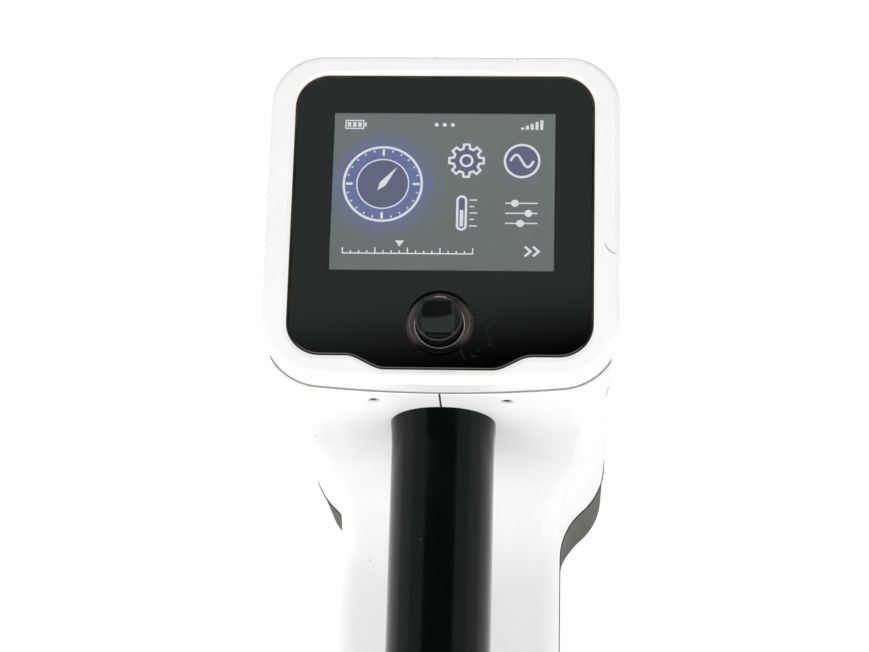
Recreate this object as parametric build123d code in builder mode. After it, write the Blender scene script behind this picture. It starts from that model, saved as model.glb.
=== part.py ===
from build123d import *
from math import acos, cos, degrees, radians, sin, sqrt, tan
import os

# A hand-held drill tracking receiver: a display head on a wide front body, a grip handle
# that runs back from under the head, a narrow rear body and a dark base with four feet.
# +Y is the front, +X the right and +Z up. The origin is under the middle of the outline,
# on the surface that the receiver stands on. All sizes are in millimetres.

# Overall size
LENGTH = 381.0
WIDTH = 139.7
HEIGHT = 279.4

# Mouldings and fits
WALL = 3.0
FIT = 0.3
RUN = 0.06
THREAD_GAP = 0.04
LEVEL = 0.01

# Plan of the body, shared by the shells, the base and their seal
OVERHANG = 2.8
NARROW_SIDE = 12.2
SHOULDER_R = 29.5
SHOULDER_LEAD = 17.0
FRONT_CORNER = 22.0
REAR_CORNER = 16.0
BASE_INSET = 0.2
BASE_LIP = 0.4

# Head and face frame
HEAD_LENGTH = 136.5
HEAD_BOW = 4.6
HEAD_FRONT_CORNER = 21.0
HEAD_REAR_CORNER = 24.0
TOGGLE_RISE = 8.0
FRAME_HEIGHT = 13.2
FRAME_RIM = 7.4
FRAME_ROUND = 2.8
HEAD_SEAL = 0.8
HEAD_SEAL_WIDTH = 3.0
HEAD_LIP = 0.45
RIM_SLOPE = 1.6
LEDGE_WIDTH = 4.0
LEDGE_THICK = 3.0

# Lens, its backing and its edge seal
LENS_SIDE = 10.65
LENS_MARGIN = 9.1
LENS_REAR_MARGIN = 11.35
LENS_CORNER = 13.0
LENS_SINK = 0.8
LENS_THICK = 3.0
LENS_BEVEL = 0.6
LENS_SEAL = 0.5
MASK_THICK = 0.4
CHIN_DEPTH = 5.5
CHIN_WIDTH = 46.0
CHIN_RUN = 10.8
CHIN_ROUND = 11.0

# Display behind the lens
WINDOW_SIDE = 15.2
WINDOW_FRONT = 14.9
WINDOW_REAR = 35.15
PANEL_BORDER = 4.0
PANEL_THICK = 2.2
BACKLIGHT_BORDER = 2.0
BACKLIGHT_THICK = 6.0

# Main board on posts under the face frame
BOARD_DROP = 19.2
BOARD_THICK = 1.6
BOARD_MARGIN = 1.6
POST_R = 3.5
POST_SIDE = 12.25
POST_FRONT = 20.0
POST_REAR = 38.5
SMALL_SCREW_R = 1.5
SMALL_HEAD_R = 2.35
SMALL_HEAD = 1.6
BOARD_SCREW_GRIP = 7.0
RIBBON_WIDTH = 24.0
RIBBON_THICK = 0.4
CHIP_SIDE = 20.0
CHIP_PITCH = 28.0
CHIP_HEIGHT = 2.7
CHIP_AHEAD = 10.0

# Four-way thumb toggle
TOGGLE_SETBACK = 13.05
TOGGLE_HOLE_R = 13.2
BOWL_DEPTH = 5.0
BOWL_R = 9.7
DOME_R = 11.0
DOME_WALL = 1.2
DOME_SKIRT = 3.6
COLLAR_FLANGE_R = 14.0
COLLAR_DEPTH = 2.4
COLLAR_SINK = 1.0
COLLAR_GAP = 0.8
CAP_R = 8.7
CAP_ROUND = 1.2
CAP_GAP = 2.8
PAD_SIDE = 12.0
PAD_RISE = 1.6
PAD_DISH_R = 13.0
PAD_DISH = 2.2
STEM_R = 3.0
GIMBAL_R = 8.2
GIMBAL_BORE = 5.4
GIMBAL_HEIGHT = 3.2
GIMBAL_PIN_R = 1.0
TOGGLE_BOX = 28.0
TOGGLE_WELL_R = 12.2
TOGGLE_FLOOR = 3.0

# Shells
SHELL_BOTTOM = 72.0
NECK_PROUD = 0.6
NECK_LEAN = 5.0
NECK_R = 45.0
EDGE_ROUND = 8.0
TOP_ROUND = 0.6
TOP_FLANGE = 4.8
SEAM_GAP = 0.8
SHELL_SCREW_R = 2.0
SHELL_HEAD_R = 3.5
SHELL_HEAD = 2.6
SHELL_SCREW_GRIP = 12.0
SHELL_BOSS_R = 5.0
SCREW_WELL_X = 10.0

# Neck screws, which hold the face frame to the shells
NECK_SCREW_X = 26.2
NECK_SCREW_DROP = 7.8
NECK_SCREW_SINK = 2.2
NECK_SCREW_WELL_R = 2.6
NECK_BOSS_R = 4.0
TAB_GAP = 0.8
TAB_THICK = 7.0
TAB_WIDTH = 10.0
TAB_DROP = 6.0

# Handle and grip sleeve
GRIP_SETBACK = 114.5
GRIP_WIDTH = 41.0
GRIP_HEIGHT = 46.4
GRIP_CORNER = 19.5
GRIP_DROP = 37.0
HAND_GAP = 53.0
GRIP_THICK = 3.0
GRIP_FLARE = 1.5
FLARE_LENGTH = 14.0
LEG_REACH = 76.0
LEG_WIDTH = 78.0
LEG_DEPTH = 42.0
LEG_FOOT_DEPTH = 50.0
LEG_FOOT_CORNER = 14.0
LEG_SINK = 1.5
LEG_BEND_1 = (22.5, 0.30, 0.07, 17.6)
LEG_BEND_2 = (45.0, 0.62, 0.365, 15.75)

# Trigger and its switch
TRIGGER_WIDTH = 16.0
TRIGGER_LENGTH = 38.0
TRIGGER_SETBACK = 14.4
TRIGGER_DROP = 10.0
TRIGGER_TAIL_RISE = 2.5
TRIGGER_ARCH = 6.2
TRIGGER_TRAVEL = 7.0
TRIGGER_GAP = 0.6
TRIGGER_SWEEP = 2.1
TRIGGER_HUB_R = 4.5
FINGER_ROUND = 2.5
PIN_R = 1.5
PIN_LENGTH = 25.0
PIN_BOSS_R = 4.0
BRACKET_THICK = 2.5
BRACKET_LENGTH = 38.0
RAIL = 2.0
SWITCH_LENGTH = 20.0
SWITCH_WIDTH = 6.4
SWITCH_HEIGHT = 10.0
PLUNGER_LENGTH = 3.0
PLUNGER_WIDTH = 2.0
PLUNGER_ARM = 12.0
PLUNGER_POCKET = 5.0
SPRING_ARM = 28.0
SPRING_R = 2.6
SPRING_WIRE_R = 0.4
SPRING_TURNS = 5
TRIGGER_LEAD_R = 1.2

# Front signal window and speaker
SIGNAL_WIDTH = 30.0
SIGNAL_HEIGHT = 12.0
SIGNAL_DROP = 25.4
SIGNAL_THICK = 2.2
SIGNAL_LIP = 3.0
SIGNAL_BOARD_THICK = 1.6
SPEAKER_R = 19.0
SPEAKER_SIDE = 42.05
SPEAKER_DROP = 72.0
SPEAKER_DEPTH = 12.0
SPEAKER_SEAL = 1.5
SPEAKER_RIM = 3.8
MAGNET_R = 10.5
MAGNET_DEPTH = 4.8
BASKET_RIM = 2.0
CONE_R = 5.7
CONE_DEPTH = 4.2
SLOT_COUNT = 5
SLOT_PITCH = 5.0
SLOT_HEIGHT = 2.2
SLOT_LENGTH = 22.0

# Antennas on their mast
ANTENNA_SETBACK = 70.0
ANTENNA_Z = 160.0
ANTENNA_TILT = 45.0
ANTENNA_SIDE = 14.6
CROSS_AHEAD = 20.0
CROSS_Z = 95.0
ROD_R = 4.0
ROD_LENGTH = 110.0
COIL_R = 10.0
COIL_LENGTH = 60.0
FLANGE_R = 12.0
FLANGE_THICK = 3.0
MAST_THICK = 4.0
MAST_WIDTH = 12.0
MAST_FOOT = 50.0
LUG_THICK = 6.0
LUG_REACH = 44.0
LUG_MARGIN = 3.0
LEAD_R = 0.8
LEAD_RUN = 8.0

# Base, feet and base screws
BASE_SEAL = 2.4
FOOT_HEIGHT = 3.0
FOOT_R = 11.0
BASE_ROUND = 2.5
FRONT_SOLE = 141.7
REAR_SOLE = 94.1
ARCH_RISE = 11.0
FRONT_FOOT_INSET = (21.05, 27.7)
REAR_FOOT_INSET = (15.2, 40.1)
BASE_BOSS_R = 4.4
BASE_WELL_R = 3.0
BASE_BOSS_INSET = 2.3
BASE_HEAD_DROP = 8.0
SHELL_BOSS_RISE = 16.0
BASE_SCREW_GRIP = 10.0

# Battery pack, its bay and the contacts
BATTERY_WIDTH = 70.0
BATTERY_HEIGHT = 46.0
BATTERY_LENGTH = 98.0
BATTERY_WALL = 2.0
BATTERY_ROUND = 3.0
BATTERY_CAP = 12.0
BATTERY_GAP = 0.4
CELL_R = 9.2
CELL_GAP = 0.5
CELLS_ALONG = 4
SNAP_R = 0.8
PULL_WIDTH = 40.0
PULL_HEIGHT = 14.0
PULL_DEPTH = 7.0
BAY_WALL = 1.6
BAY_CLEAR = 6.5
BAY_RIB_X = 24.0
CONTACT_BLOCK_WIDTH = 40.0
CONTACT_BLOCK_HEIGHT = 14.0
CONTACT_BLOCK_DEPTH = 4.0
CONTACT_COUNT = 4
CONTACT_PITCH = 9.0
CONTACT_R = 1.4
CONTACT_PAD = 6.0
CONTACT_PAD_THICK = 1.0
BATTERY_LEAD_R = 2.2

# Planes and levels worked out from the sizes above
HEAD_FRONT = LENGTH / 2
HEAD_REAR = HEAD_FRONT - HEAD_LENGTH
BODY_FRONT = HEAD_FRONT - OVERHANG
BODY_REAR = BASE_LIP - LENGTH / 2
BODY_HALF = WIDTH / 2 - OVERHANG
NARROW_HALF = BATTERY_WIDTH / 2 + NARROW_SIDE
SHOULDER_Y = HEAD_REAR + SHOULDER_LEAD
FACE_Z = HEIGHT - TOGGLE_RISE
FRAME_Z = FACE_Z - FRAME_HEIGHT
SHELL_TOP = FRAME_Z - HEAD_SEAL
LENS_Z = FACE_Z - LENS_SINK
LEDGE_Z = LENS_Z - LENS_THICK - MASK_THICK
LEDGE_UNDER = LEDGE_Z - LEDGE_THICK
LENS_WIDTH = WIDTH - 2 * LENS_SIDE
LENS_FRONT = HEAD_FRONT - LENS_MARGIN
LENS_REAR = HEAD_REAR + LENS_REAR_MARGIN
WINDOW_WIDTH = LENS_WIDTH - 2 * WINDOW_SIDE
WINDOW_LENGTH = LENS_FRONT - WINDOW_FRONT - WINDOW_REAR - LENS_REAR
DISPLAY_Y = LENS_FRONT - WINDOW_FRONT - WINDOW_LENGTH / 2
POST_X = WIDTH / 2 - POST_SIDE
POST_PITCH = HEAD_LENGTH - POST_FRONT - POST_REAR
BOARD_Z = LEDGE_Z - BOARD_DROP
BOARD_UNDER = BOARD_Z - BOARD_THICK
TOGGLE_Y = LENS_REAR + TOGGLE_SETBACK
NECK_Y = HEAD_REAR - NECK_PROUD
NECK_SLOPE = tan(radians(NECK_LEAN))
GRIP_TOP = HEIGHT - GRIP_DROP
HANDLE_Z = GRIP_TOP - GRIP_HEIGHT / 2
DECK_Z = GRIP_TOP - GRIP_HEIGHT - HAND_GAP
GRIP_END = BODY_REAR + GRIP_SETBACK
CORE_WIDTH = GRIP_WIDTH - 2 * GRIP_THICK
CORE_HEIGHT = GRIP_HEIGHT - 2 * GRIP_THICK
CORE_CORNER = GRIP_CORNER - GRIP_THICK
CORE_FLOOR = HANDLE_Z - CORE_HEIGHT / 2 + WALL
BASE_TOP = SHELL_BOTTOM - BASE_SEAL
BASE_FLOOR = FOOT_HEIGHT + WALL
BASE_REAR = BODY_REAR + BASE_INSET
BASE_HALF = BODY_HALF - BASE_INSET
BASE_NARROW_HALF = NARROW_HALF - BASE_INSET
ARCH_FRONT = BODY_FRONT - FRONT_SOLE
ARCH_REAR = BODY_REAR + REAR_SOLE
SPEAKER_X = BODY_HALF - SPEAKER_SIDE

os.makedirs("parts", exist_ok=True)


def write(piece, node):
    """Label a finished piece with its node's name and write it."""
    piece.part.label = node
    export_step(piece.part, f"parts/{node}.step")


def body_plan(inset):
    """Plan of the body: wide front, S-shaped shoulders and narrow rear, drawn in by inset."""
    half = BODY_HALF - inset
    narrow = NARROW_HALF - inset
    front = BODY_FRONT - inset
    rear = BODY_REAR + inset
    front_corner = FRONT_CORNER - inset
    rear_corner = REAR_CORNER - inset
    turn = degrees(acos(1 - (BODY_HALF - NARROW_HALF) / (2 * SHOULDER_R)))
    shoulder_end = SHOULDER_Y - 2 * SHOULDER_R * sin(radians(turn))
    with BuildSketch(Plane.XY, mode=Mode.PRIVATE) as plan:
        with BuildLine():
            Line((0, front), (half - front_corner, front))
            CenterArc((half - front_corner, front - front_corner), front_corner, 90, -90)
            Line((half, front - front_corner), (half, SHOULDER_Y))
            CenterArc((BODY_HALF - SHOULDER_R, SHOULDER_Y), SHOULDER_R - inset, 0, -turn)
            CenterArc((NARROW_HALF + SHOULDER_R, shoulder_end), SHOULDER_R + inset, 180 - turn, turn)
            Line((narrow, shoulder_end), (narrow, rear + rear_corner))
            CenterArc((narrow - rear_corner, rear + rear_corner), rear_corner, 0, -90)
            Line((narrow - rear_corner, rear), (0, rear))
            Line((0, rear), (0, front))
        make_face()
        mirror(about=Plane.YZ)
    return plan.sketch


def body_side(inset):
    """Side of the shells without the handle: deck, swept neck and head, drawn in by inset."""
    deck = DECK_Z - inset
    top = SHELL_TOP - inset
    low = SHELL_BOTTOM - inset
    wall_shift = inset / cos(radians(NECK_LEAN))
    front = BODY_FRONT - inset
    rear = BODY_REAR + inset

    def neck_y(z):
        return NECK_Y - (SHELL_TOP - z) * NECK_SLOPE + wall_shift

    with BuildSketch(Plane.XY, mode=Mode.PRIVATE) as side:
        with BuildLine():
            Polyline(
                (rear, low),
                (rear, deck),
                (neck_y(deck), deck),
                (neck_y(top), top),
                (front, top),
                (front, low),
                close=True,
            )
        make_face()
        neck_foot = side.vertices().sort_by_distance((neck_y(deck), deck, 0))[0]
        fillet(neck_foot, NECK_R + inset)
    return side.sketch


def body_block(inset):
    """Shell body as one filled block, the plan cut to the side view."""
    plan = body_plan(inset)
    side = body_side(inset)
    with BuildPart() as block:
        with BuildSketch(Plane.XY.offset(SHELL_BOTTOM - inset)):
            add(plan)
        extrude(amount=SHELL_TOP - SHELL_BOTTOM)
        with BuildSketch(Plane.YZ):
            add(side)
        extrude(amount=WIDTH, both=True, mode=Mode.INTERSECT)
    return block.part


def head_plan(inset):
    """Plan of the head: large round corners and a slightly bowed rear edge."""
    half = WIDTH / 2 - inset
    front = HEAD_FRONT - inset
    rear = HEAD_REAR + inset
    with BuildSketch(Plane.XY, mode=Mode.PRIVATE) as plan:
        with BuildLine():
            Polyline((-half, rear + HEAD_BOW), (-half, front), (half, front), (half, rear + HEAD_BOW))
            ThreePointArc((half, rear + HEAD_BOW), (0, rear), (-half, rear + HEAD_BOW))
        make_face()
        fillet(plan.vertices().group_by(Axis.Y)[-1], HEAD_FRONT_CORNER - inset)
        fillet(plan.vertices().group_by(Axis.Y)[0], HEAD_REAR_CORNER - inset)
    return plan.sketch


def lens_plan(grow):
    """Outline of the lens with the shallow chin at its rear edge, grown by grow."""
    half = LENS_WIDTH / 2
    chin = CHIN_WIDTH / 2
    chin_rear = LENS_REAR - CHIN_DEPTH
    with BuildSketch(Plane.XY, mode=Mode.PRIVATE) as plan:
        with BuildLine():
            Polyline(
                (0, LENS_FRONT),
                (half, LENS_FRONT),
                (half, LENS_REAR),
                (chin + CHIN_RUN, LENS_REAR),
                (chin, chin_rear),
                (0, chin_rear),
                close=True,
            )
        make_face()
        corners = plan.vertices().group_by(Axis.X)[-1]
        fillet(corners, LENS_CORNER)
        bends = [
            plan.vertices().sort_by_distance((chin + CHIN_RUN, LENS_REAR, 0))[0],
            plan.vertices().sort_by_distance((chin, chin_rear, 0))[0],
        ]
        fillet(bends, CHIN_ROUND)
        mirror(about=Plane.YZ)
        if grow:
            offset(amount=grow)
    return plan.sketch


def base_boss_places():
    """Plan places of the eight bosses that join the base to the shells."""
    wide = BASE_HALF - BASE_BOSS_INSET - WALL
    narrow = BASE_NARROW_HALF - BASE_BOSS_INSET - WALL
    front_y = BODY_FRONT - FRONT_CORNER - 2 * BASE_BOSS_R
    middle_y = SHOULDER_Y + FRONT_CORNER
    arch_y = ARCH_REAR + (ARCH_FRONT - ARCH_REAR) / 2
    rear_y = BODY_REAR + REAR_CORNER + 2 * BASE_BOSS_R
    right = [(wide, front_y), (wide, middle_y), (narrow, arch_y), (narrow, rear_y)]
    return right + [(-x, y) for x, y in right]


def shell_screw_places():
    """Side-view places (y, z) of the screws that join the two shells."""
    front_y = BODY_FRONT - WALL - 2 * SHELL_BOSS_R
    neck_y = HEAD_REAR + 2 * SHELL_BOSS_R
    high_z = SHELL_TOP - 5 * SHELL_BOSS_R
    low_z = SHELL_BOTTOM + 4 * SHELL_BOSS_R
    deck_z = DECK_Z - WALL - 3 * SHELL_BOSS_R
    leg_y = GRIP_END - LEG_BEND_2[1] * LEG_REACH
    leg_z = HANDLE_Z - LEG_BEND_2[2] * (HANDLE_Z - DECK_Z)
    return [
        (front_y, low_z),
        (front_y, high_z - 2 * SHELL_BOSS_R),
        (neck_y, high_z),
        (NECK_Y - NECK_R - 4 * SHELL_BOSS_R, deck_z),
        (BODY_REAR + 8 * SHELL_BOSS_R, deck_z),
        (leg_y, leg_z),
    ]


def handle_leg(inset, step):
    """Rear leg of the handle down to the deck, drawn in by inset, and by step more at the grip."""
    drop = HANDLE_Z - DECK_Z + LEG_SINK + inset
    sections = [(0.0, 0.0, 0.0, GRIP_WIDTH - 2 * step, GRIP_HEIGHT - 2 * step, GRIP_CORNER - step)]
    for turn, reach_share, drop_share, corner in (LEG_BEND_1, LEG_BEND_2):
        width = GRIP_WIDTH + (LEG_WIDTH - GRIP_WIDTH) * drop_share
        sections.append((turn, reach_share, drop_share, width, LEG_DEPTH, corner))
    sections.append((90.0, 1.0, 1.0, LEG_WIDTH, LEG_FOOT_DEPTH, LEG_FOOT_CORNER))
    with BuildPart() as leg:
        for turn, reach_share, drop_share, width, depth, corner in sections:
            centre = (0, GRIP_END - reach_share * LEG_REACH, HANDLE_Z - drop_share * drop)
            along = (0, -cos(radians(turn)), -sin(radians(turn)))
            with BuildSketch(Plane(origin=centre, x_dir=(1, 0, 0), z_dir=along)):
                RectangleRounded(width - 2 * inset, depth - 2 * inset, corner - inset)
        loft()
    return leg.part


def handle_bar(width, height, corner, front, rear):
    """Straight bar of the handle's rounded section between two y places."""
    with BuildPart() as bar:
        with BuildSketch(Plane.XZ.offset(-front)):
            with Locations((0, HANDLE_Z)):
                RectangleRounded(width, height, corner)
        extrude(amount=front - rear)
    return bar.part


# Shells: outer form of both halves, filled
block = body_block(0)
core = handle_bar(CORE_WIDTH, CORE_HEIGHT, CORE_CORNER, NECK_Y + WALL, GRIP_END - WALL)
leg = handle_leg(0, 0)
with BuildPart() as shell_form:
    add(block)
    raised = shell_form.faces().filter_by(lambda face: face.normal_at().Z > LEVEL)
    sloped = raised.filter_by(lambda face: face.center().Z < SHELL_TOP - WALL)
    rims = ShapeList(
        edge
        for face in sloped
        for edge in face.edges()
        if abs(edge.tangent_at(0.5).X) < 1 - LEVEL or edge.center().Y < BODY_REAR + WALL
    )
    fillet(rims, EDGE_ROUND)
    fillet(shell_form.faces().sort_by(Axis.Z)[-1].edges(), TOP_ROUND)
    add(core)
    add(leg)

# Shells: hollow of both halves, with the opening under the head
cavity = body_block(WALL)
tunnel = handle_bar(
    CORE_WIDTH - 2 * WALL,
    CORE_HEIGHT - 2 * WALL,
    CORE_CORNER - WALL,
    NECK_Y + 3 * WALL,
    GRIP_END - 2 * WALL,
)
leg_hollow = handle_leg(WALL, GRIP_THICK)
head_opening = head_plan(OVERHANG + TOP_FLANGE)
trigger_y = NECK_Y - TRIGGER_SETBACK
trigger_z = CORE_FLOOR + TRIGGER_HUB_R - FIT
trigger_half = TRIGGER_WIDTH / 2
trigger_tail = trigger_y + TRIGGER_HUB_R - TRIGGER_LENGTH
slot_front = trigger_y + TRIGGER_HUB_R + TRIGGER_GAP
slot_rear = trigger_tail - TRIGGER_SWEEP
signal_z = SHELL_TOP - SIGNAL_DROP
with BuildPart() as hollow_form:
    add(shell_form.part)
    add(cavity, mode=Mode.SUBTRACT)
    add(tunnel, mode=Mode.SUBTRACT)
    add(leg_hollow, mode=Mode.SUBTRACT)
    with BuildSketch(Plane.XY.offset(SHELL_TOP)):
        add(head_opening)
    extrude(amount=-2 * WALL, mode=Mode.SUBTRACT)
    with BuildSketch(Plane.XZ.offset(-BODY_FRONT)):
        with Locations((0, signal_z)):
            RectangleRounded(SIGNAL_WIDTH + 2 * FIT, SIGNAL_HEIGHT + 2 * FIT, SIGNAL_LIP)
    extrude(amount=SIGNAL_THICK, mode=Mode.SUBTRACT)
    with BuildSketch(Plane.XZ.offset(-BODY_FRONT)):
        with Locations((0, signal_z)):
            Rectangle(SIGNAL_WIDTH - 2 * SIGNAL_LIP, SIGNAL_HEIGHT - 2 * SIGNAL_LIP)
    extrude(amount=2 * WALL, mode=Mode.SUBTRACT)
    with BuildSketch(Plane.XY.offset(HANDLE_Z - GRIP_HEIGHT / 2)):
        with Locations((0, (slot_front + slot_rear) / 2)):
            Rectangle(TRIGGER_WIDTH + 2 * TRIGGER_GAP, slot_front - slot_rear)
    extrude(amount=trigger_z + TRIGGER_HUB_R - HANDLE_Z + GRIP_HEIGHT / 2, mode=Mode.SUBTRACT)

with BuildPart() as shell_seam_seal:
    add(hollow_form.part)
    with BuildSketch(Plane.YZ):
        Rectangle(2 * LENGTH, 3 * HEIGHT)
    extrude(amount=SEAM_GAP / 2, both=True, mode=Mode.INTERSECT)
write(shell_seam_seal, "shell_seam_seal")

# Shells: screw bosses, trigger bosses and the rails of the trigger bracket
neck_screw_z = SHELL_TOP - NECK_SCREW_DROP
neck_wall_y = NECK_Y - NECK_SCREW_DROP * NECK_SLOPE
tab_bow = (NECK_SCREW_X + TAB_WIDTH / 2) / (WIDTH / 2 - OVERHANG - TOP_FLANGE)
tab_y = HEAD_REAR + OVERHANG + TOP_FLANGE + HEAD_BOW * tab_bow**2 + TAB_GAP
bracket_z = trigger_z + TRIGGER_HUB_R + SWITCH_HEIGHT
core_inner_half = CORE_WIDTH / 2 - WALL
with BuildPart() as long_bosses:
    with BuildSketch(Plane.YZ):
        with Locations(*shell_screw_places()):
            Circle(SHELL_BOSS_R)
        with Locations((trigger_y, trigger_z)):
            Circle(PIN_BOSS_R)
    extrude(amount=WIDTH, both=True)
    add(shell_form.part, mode=Mode.INTERSECT)
    with BuildSketch(Plane.YZ):
        with Locations((trigger_y, trigger_z)):
            Circle(PIN_BOSS_R + FIT)
    extrude(amount=trigger_half + TRIGGER_GAP, both=True, mode=Mode.SUBTRACT)
with BuildPart() as shell_pair:
    add(hollow_form.part)
    add(long_bosses.part)
    with BuildSketch(Plane.XZ.offset(-(tab_y - FIT))):
        with Locations((-NECK_SCREW_X, neck_screw_z), (NECK_SCREW_X, neck_screw_z)):
            Circle(NECK_BOSS_R)
    extrude(amount=tab_y - FIT - neck_wall_y - WALL / 2)
    with BuildSketch(Plane.XY.offset(SHELL_BOTTOM)):
        with Locations(*base_boss_places()):
            Circle(BASE_BOSS_R)
    extrude(amount=SHELL_BOSS_RISE)
    with BuildSketch(Plane.XZ.offset(-trigger_tail - BRACKET_LENGTH)):
        for side in (-1, 1):
            with Locations((side * core_inner_half, bracket_z - RAIL / 2)):
                Rectangle(2 * RAIL, RAIL)
    extrude(amount=BRACKET_LENGTH)
    with BuildSketch(Plane.XZ.offset(-(tab_y + TAB_THICK))):
        with Locations((-NECK_SCREW_X, neck_screw_z), (NECK_SCREW_X, neck_screw_z)):
            Circle(SMALL_SCREW_R + THREAD_GAP)
    extrude(amount=tab_y + TAB_THICK - neck_wall_y + WALL, mode=Mode.SUBTRACT)
    with BuildSketch(Plane.XZ.offset(-(neck_wall_y + NECK_SCREW_SINK))):
        with Locations((-NECK_SCREW_X, neck_screw_z), (NECK_SCREW_X, neck_screw_z)):
            Circle(NECK_SCREW_WELL_R)
    extrude(amount=NECK_SCREW_SINK + WALL, mode=Mode.SUBTRACT)
    with BuildSketch(Plane.XY.offset(SHELL_BOTTOM)):
        with Locations(*base_boss_places()):
            Circle(SMALL_SCREW_R + THREAD_GAP)
    extrude(amount=BASE_SCREW_GRIP + 2 * FIT, mode=Mode.SUBTRACT)
    with BuildSketch(Plane.YZ):
        with Locations((trigger_y, trigger_z)):
            Circle(PIN_R + THREAD_GAP)
    extrude(amount=PIN_LENGTH / 2 + FIT, both=True, mode=Mode.SUBTRACT)

# Left shell: takes the threads of the shell screws
with BuildPart() as left_shell:
    add(shell_pair.part)
    split(bisect_by=Plane.YZ.offset(-SEAM_GAP / 2), keep=Keep.BOTTOM)
    with BuildSketch(Plane.YZ):
        with Locations(*shell_screw_places()):
            Circle(SHELL_SCREW_R + THREAD_GAP)
    extrude(amount=-SHELL_SCREW_GRIP - FIT, mode=Mode.SUBTRACT)
write(left_shell, "left_shell")

# Right shell: screw wells in its side and the speaker's slots in its front
speaker_z = SHELL_TOP - SPEAKER_DROP
with BuildPart() as right_shell:
    add(shell_pair.part)
    split(bisect_by=Plane.YZ.offset(SEAM_GAP / 2), keep=Keep.TOP)
    with BuildSketch(Plane.YZ):
        with Locations(*shell_screw_places()):
            Circle(SHELL_SCREW_R + THREAD_GAP)
    extrude(amount=SCREW_WELL_X, mode=Mode.SUBTRACT)
    with BuildSketch(Plane.YZ.offset(SCREW_WELL_X)):
        with Locations(*shell_screw_places()):
            Circle(SHELL_HEAD_R + FIT)
    extrude(amount=WIDTH, mode=Mode.SUBTRACT)
    with BuildSketch(Plane.XZ.offset(-BODY_FRONT)):
        with Locations((SPEAKER_X, speaker_z)):
            with GridLocations(0, SLOT_PITCH, 1, SLOT_COUNT):
                SlotOverall(SLOT_LENGTH, SLOT_HEIGHT)
    extrude(amount=2 * WALL, mode=Mode.SUBTRACT)
write(right_shell, "right_shell")

with BuildPart() as shell_screws:
    with BuildSketch(Plane.YZ.offset(SCREW_WELL_X)):
        with Locations(*shell_screw_places()):
            Circle(SHELL_HEAD_R)
    extrude(amount=SHELL_HEAD)
    with BuildSketch(Plane.YZ.offset(SCREW_WELL_X)):
        with Locations(*shell_screw_places()):
            Circle(SHELL_SCREW_R)
    extrude(amount=-SCREW_WELL_X - SHELL_SCREW_GRIP)
    with BuildSketch(Plane.YZ.offset(SCREW_WELL_X + SHELL_HEAD)):
        with Locations(*shell_screw_places()):
            RegularPolygon(SHELL_SCREW_R, 6)
    extrude(amount=-SHELL_HEAD / 2, mode=Mode.SUBTRACT)
write(shell_screws, "shell_screws")

with BuildPart() as neck_screws:
    seat_y = neck_wall_y + NECK_SCREW_SINK
    with BuildSketch(Plane.XZ.offset(-seat_y)):
        with Locations((-NECK_SCREW_X, neck_screw_z), (NECK_SCREW_X, neck_screw_z)):
            Circle(SMALL_HEAD_R)
    extrude(amount=SMALL_HEAD)
    with BuildSketch(Plane.XZ.offset(-seat_y)):
        with Locations((-NECK_SCREW_X, neck_screw_z), (NECK_SCREW_X, neck_screw_z)):
            Circle(SMALL_SCREW_R)
    extrude(amount=-(tab_y + TAB_THICK - FIT - seat_y))
    with BuildSketch(Plane.XZ.offset(-seat_y + SMALL_HEAD)):
        with Locations((-NECK_SCREW_X, neck_screw_z), (NECK_SCREW_X, neck_screw_z)):
            RegularPolygon(SMALL_SCREW_R, 6)
    extrude(amount=-SMALL_HEAD / 2, mode=Mode.SUBTRACT)
write(neck_screws, "neck_screws")

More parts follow.
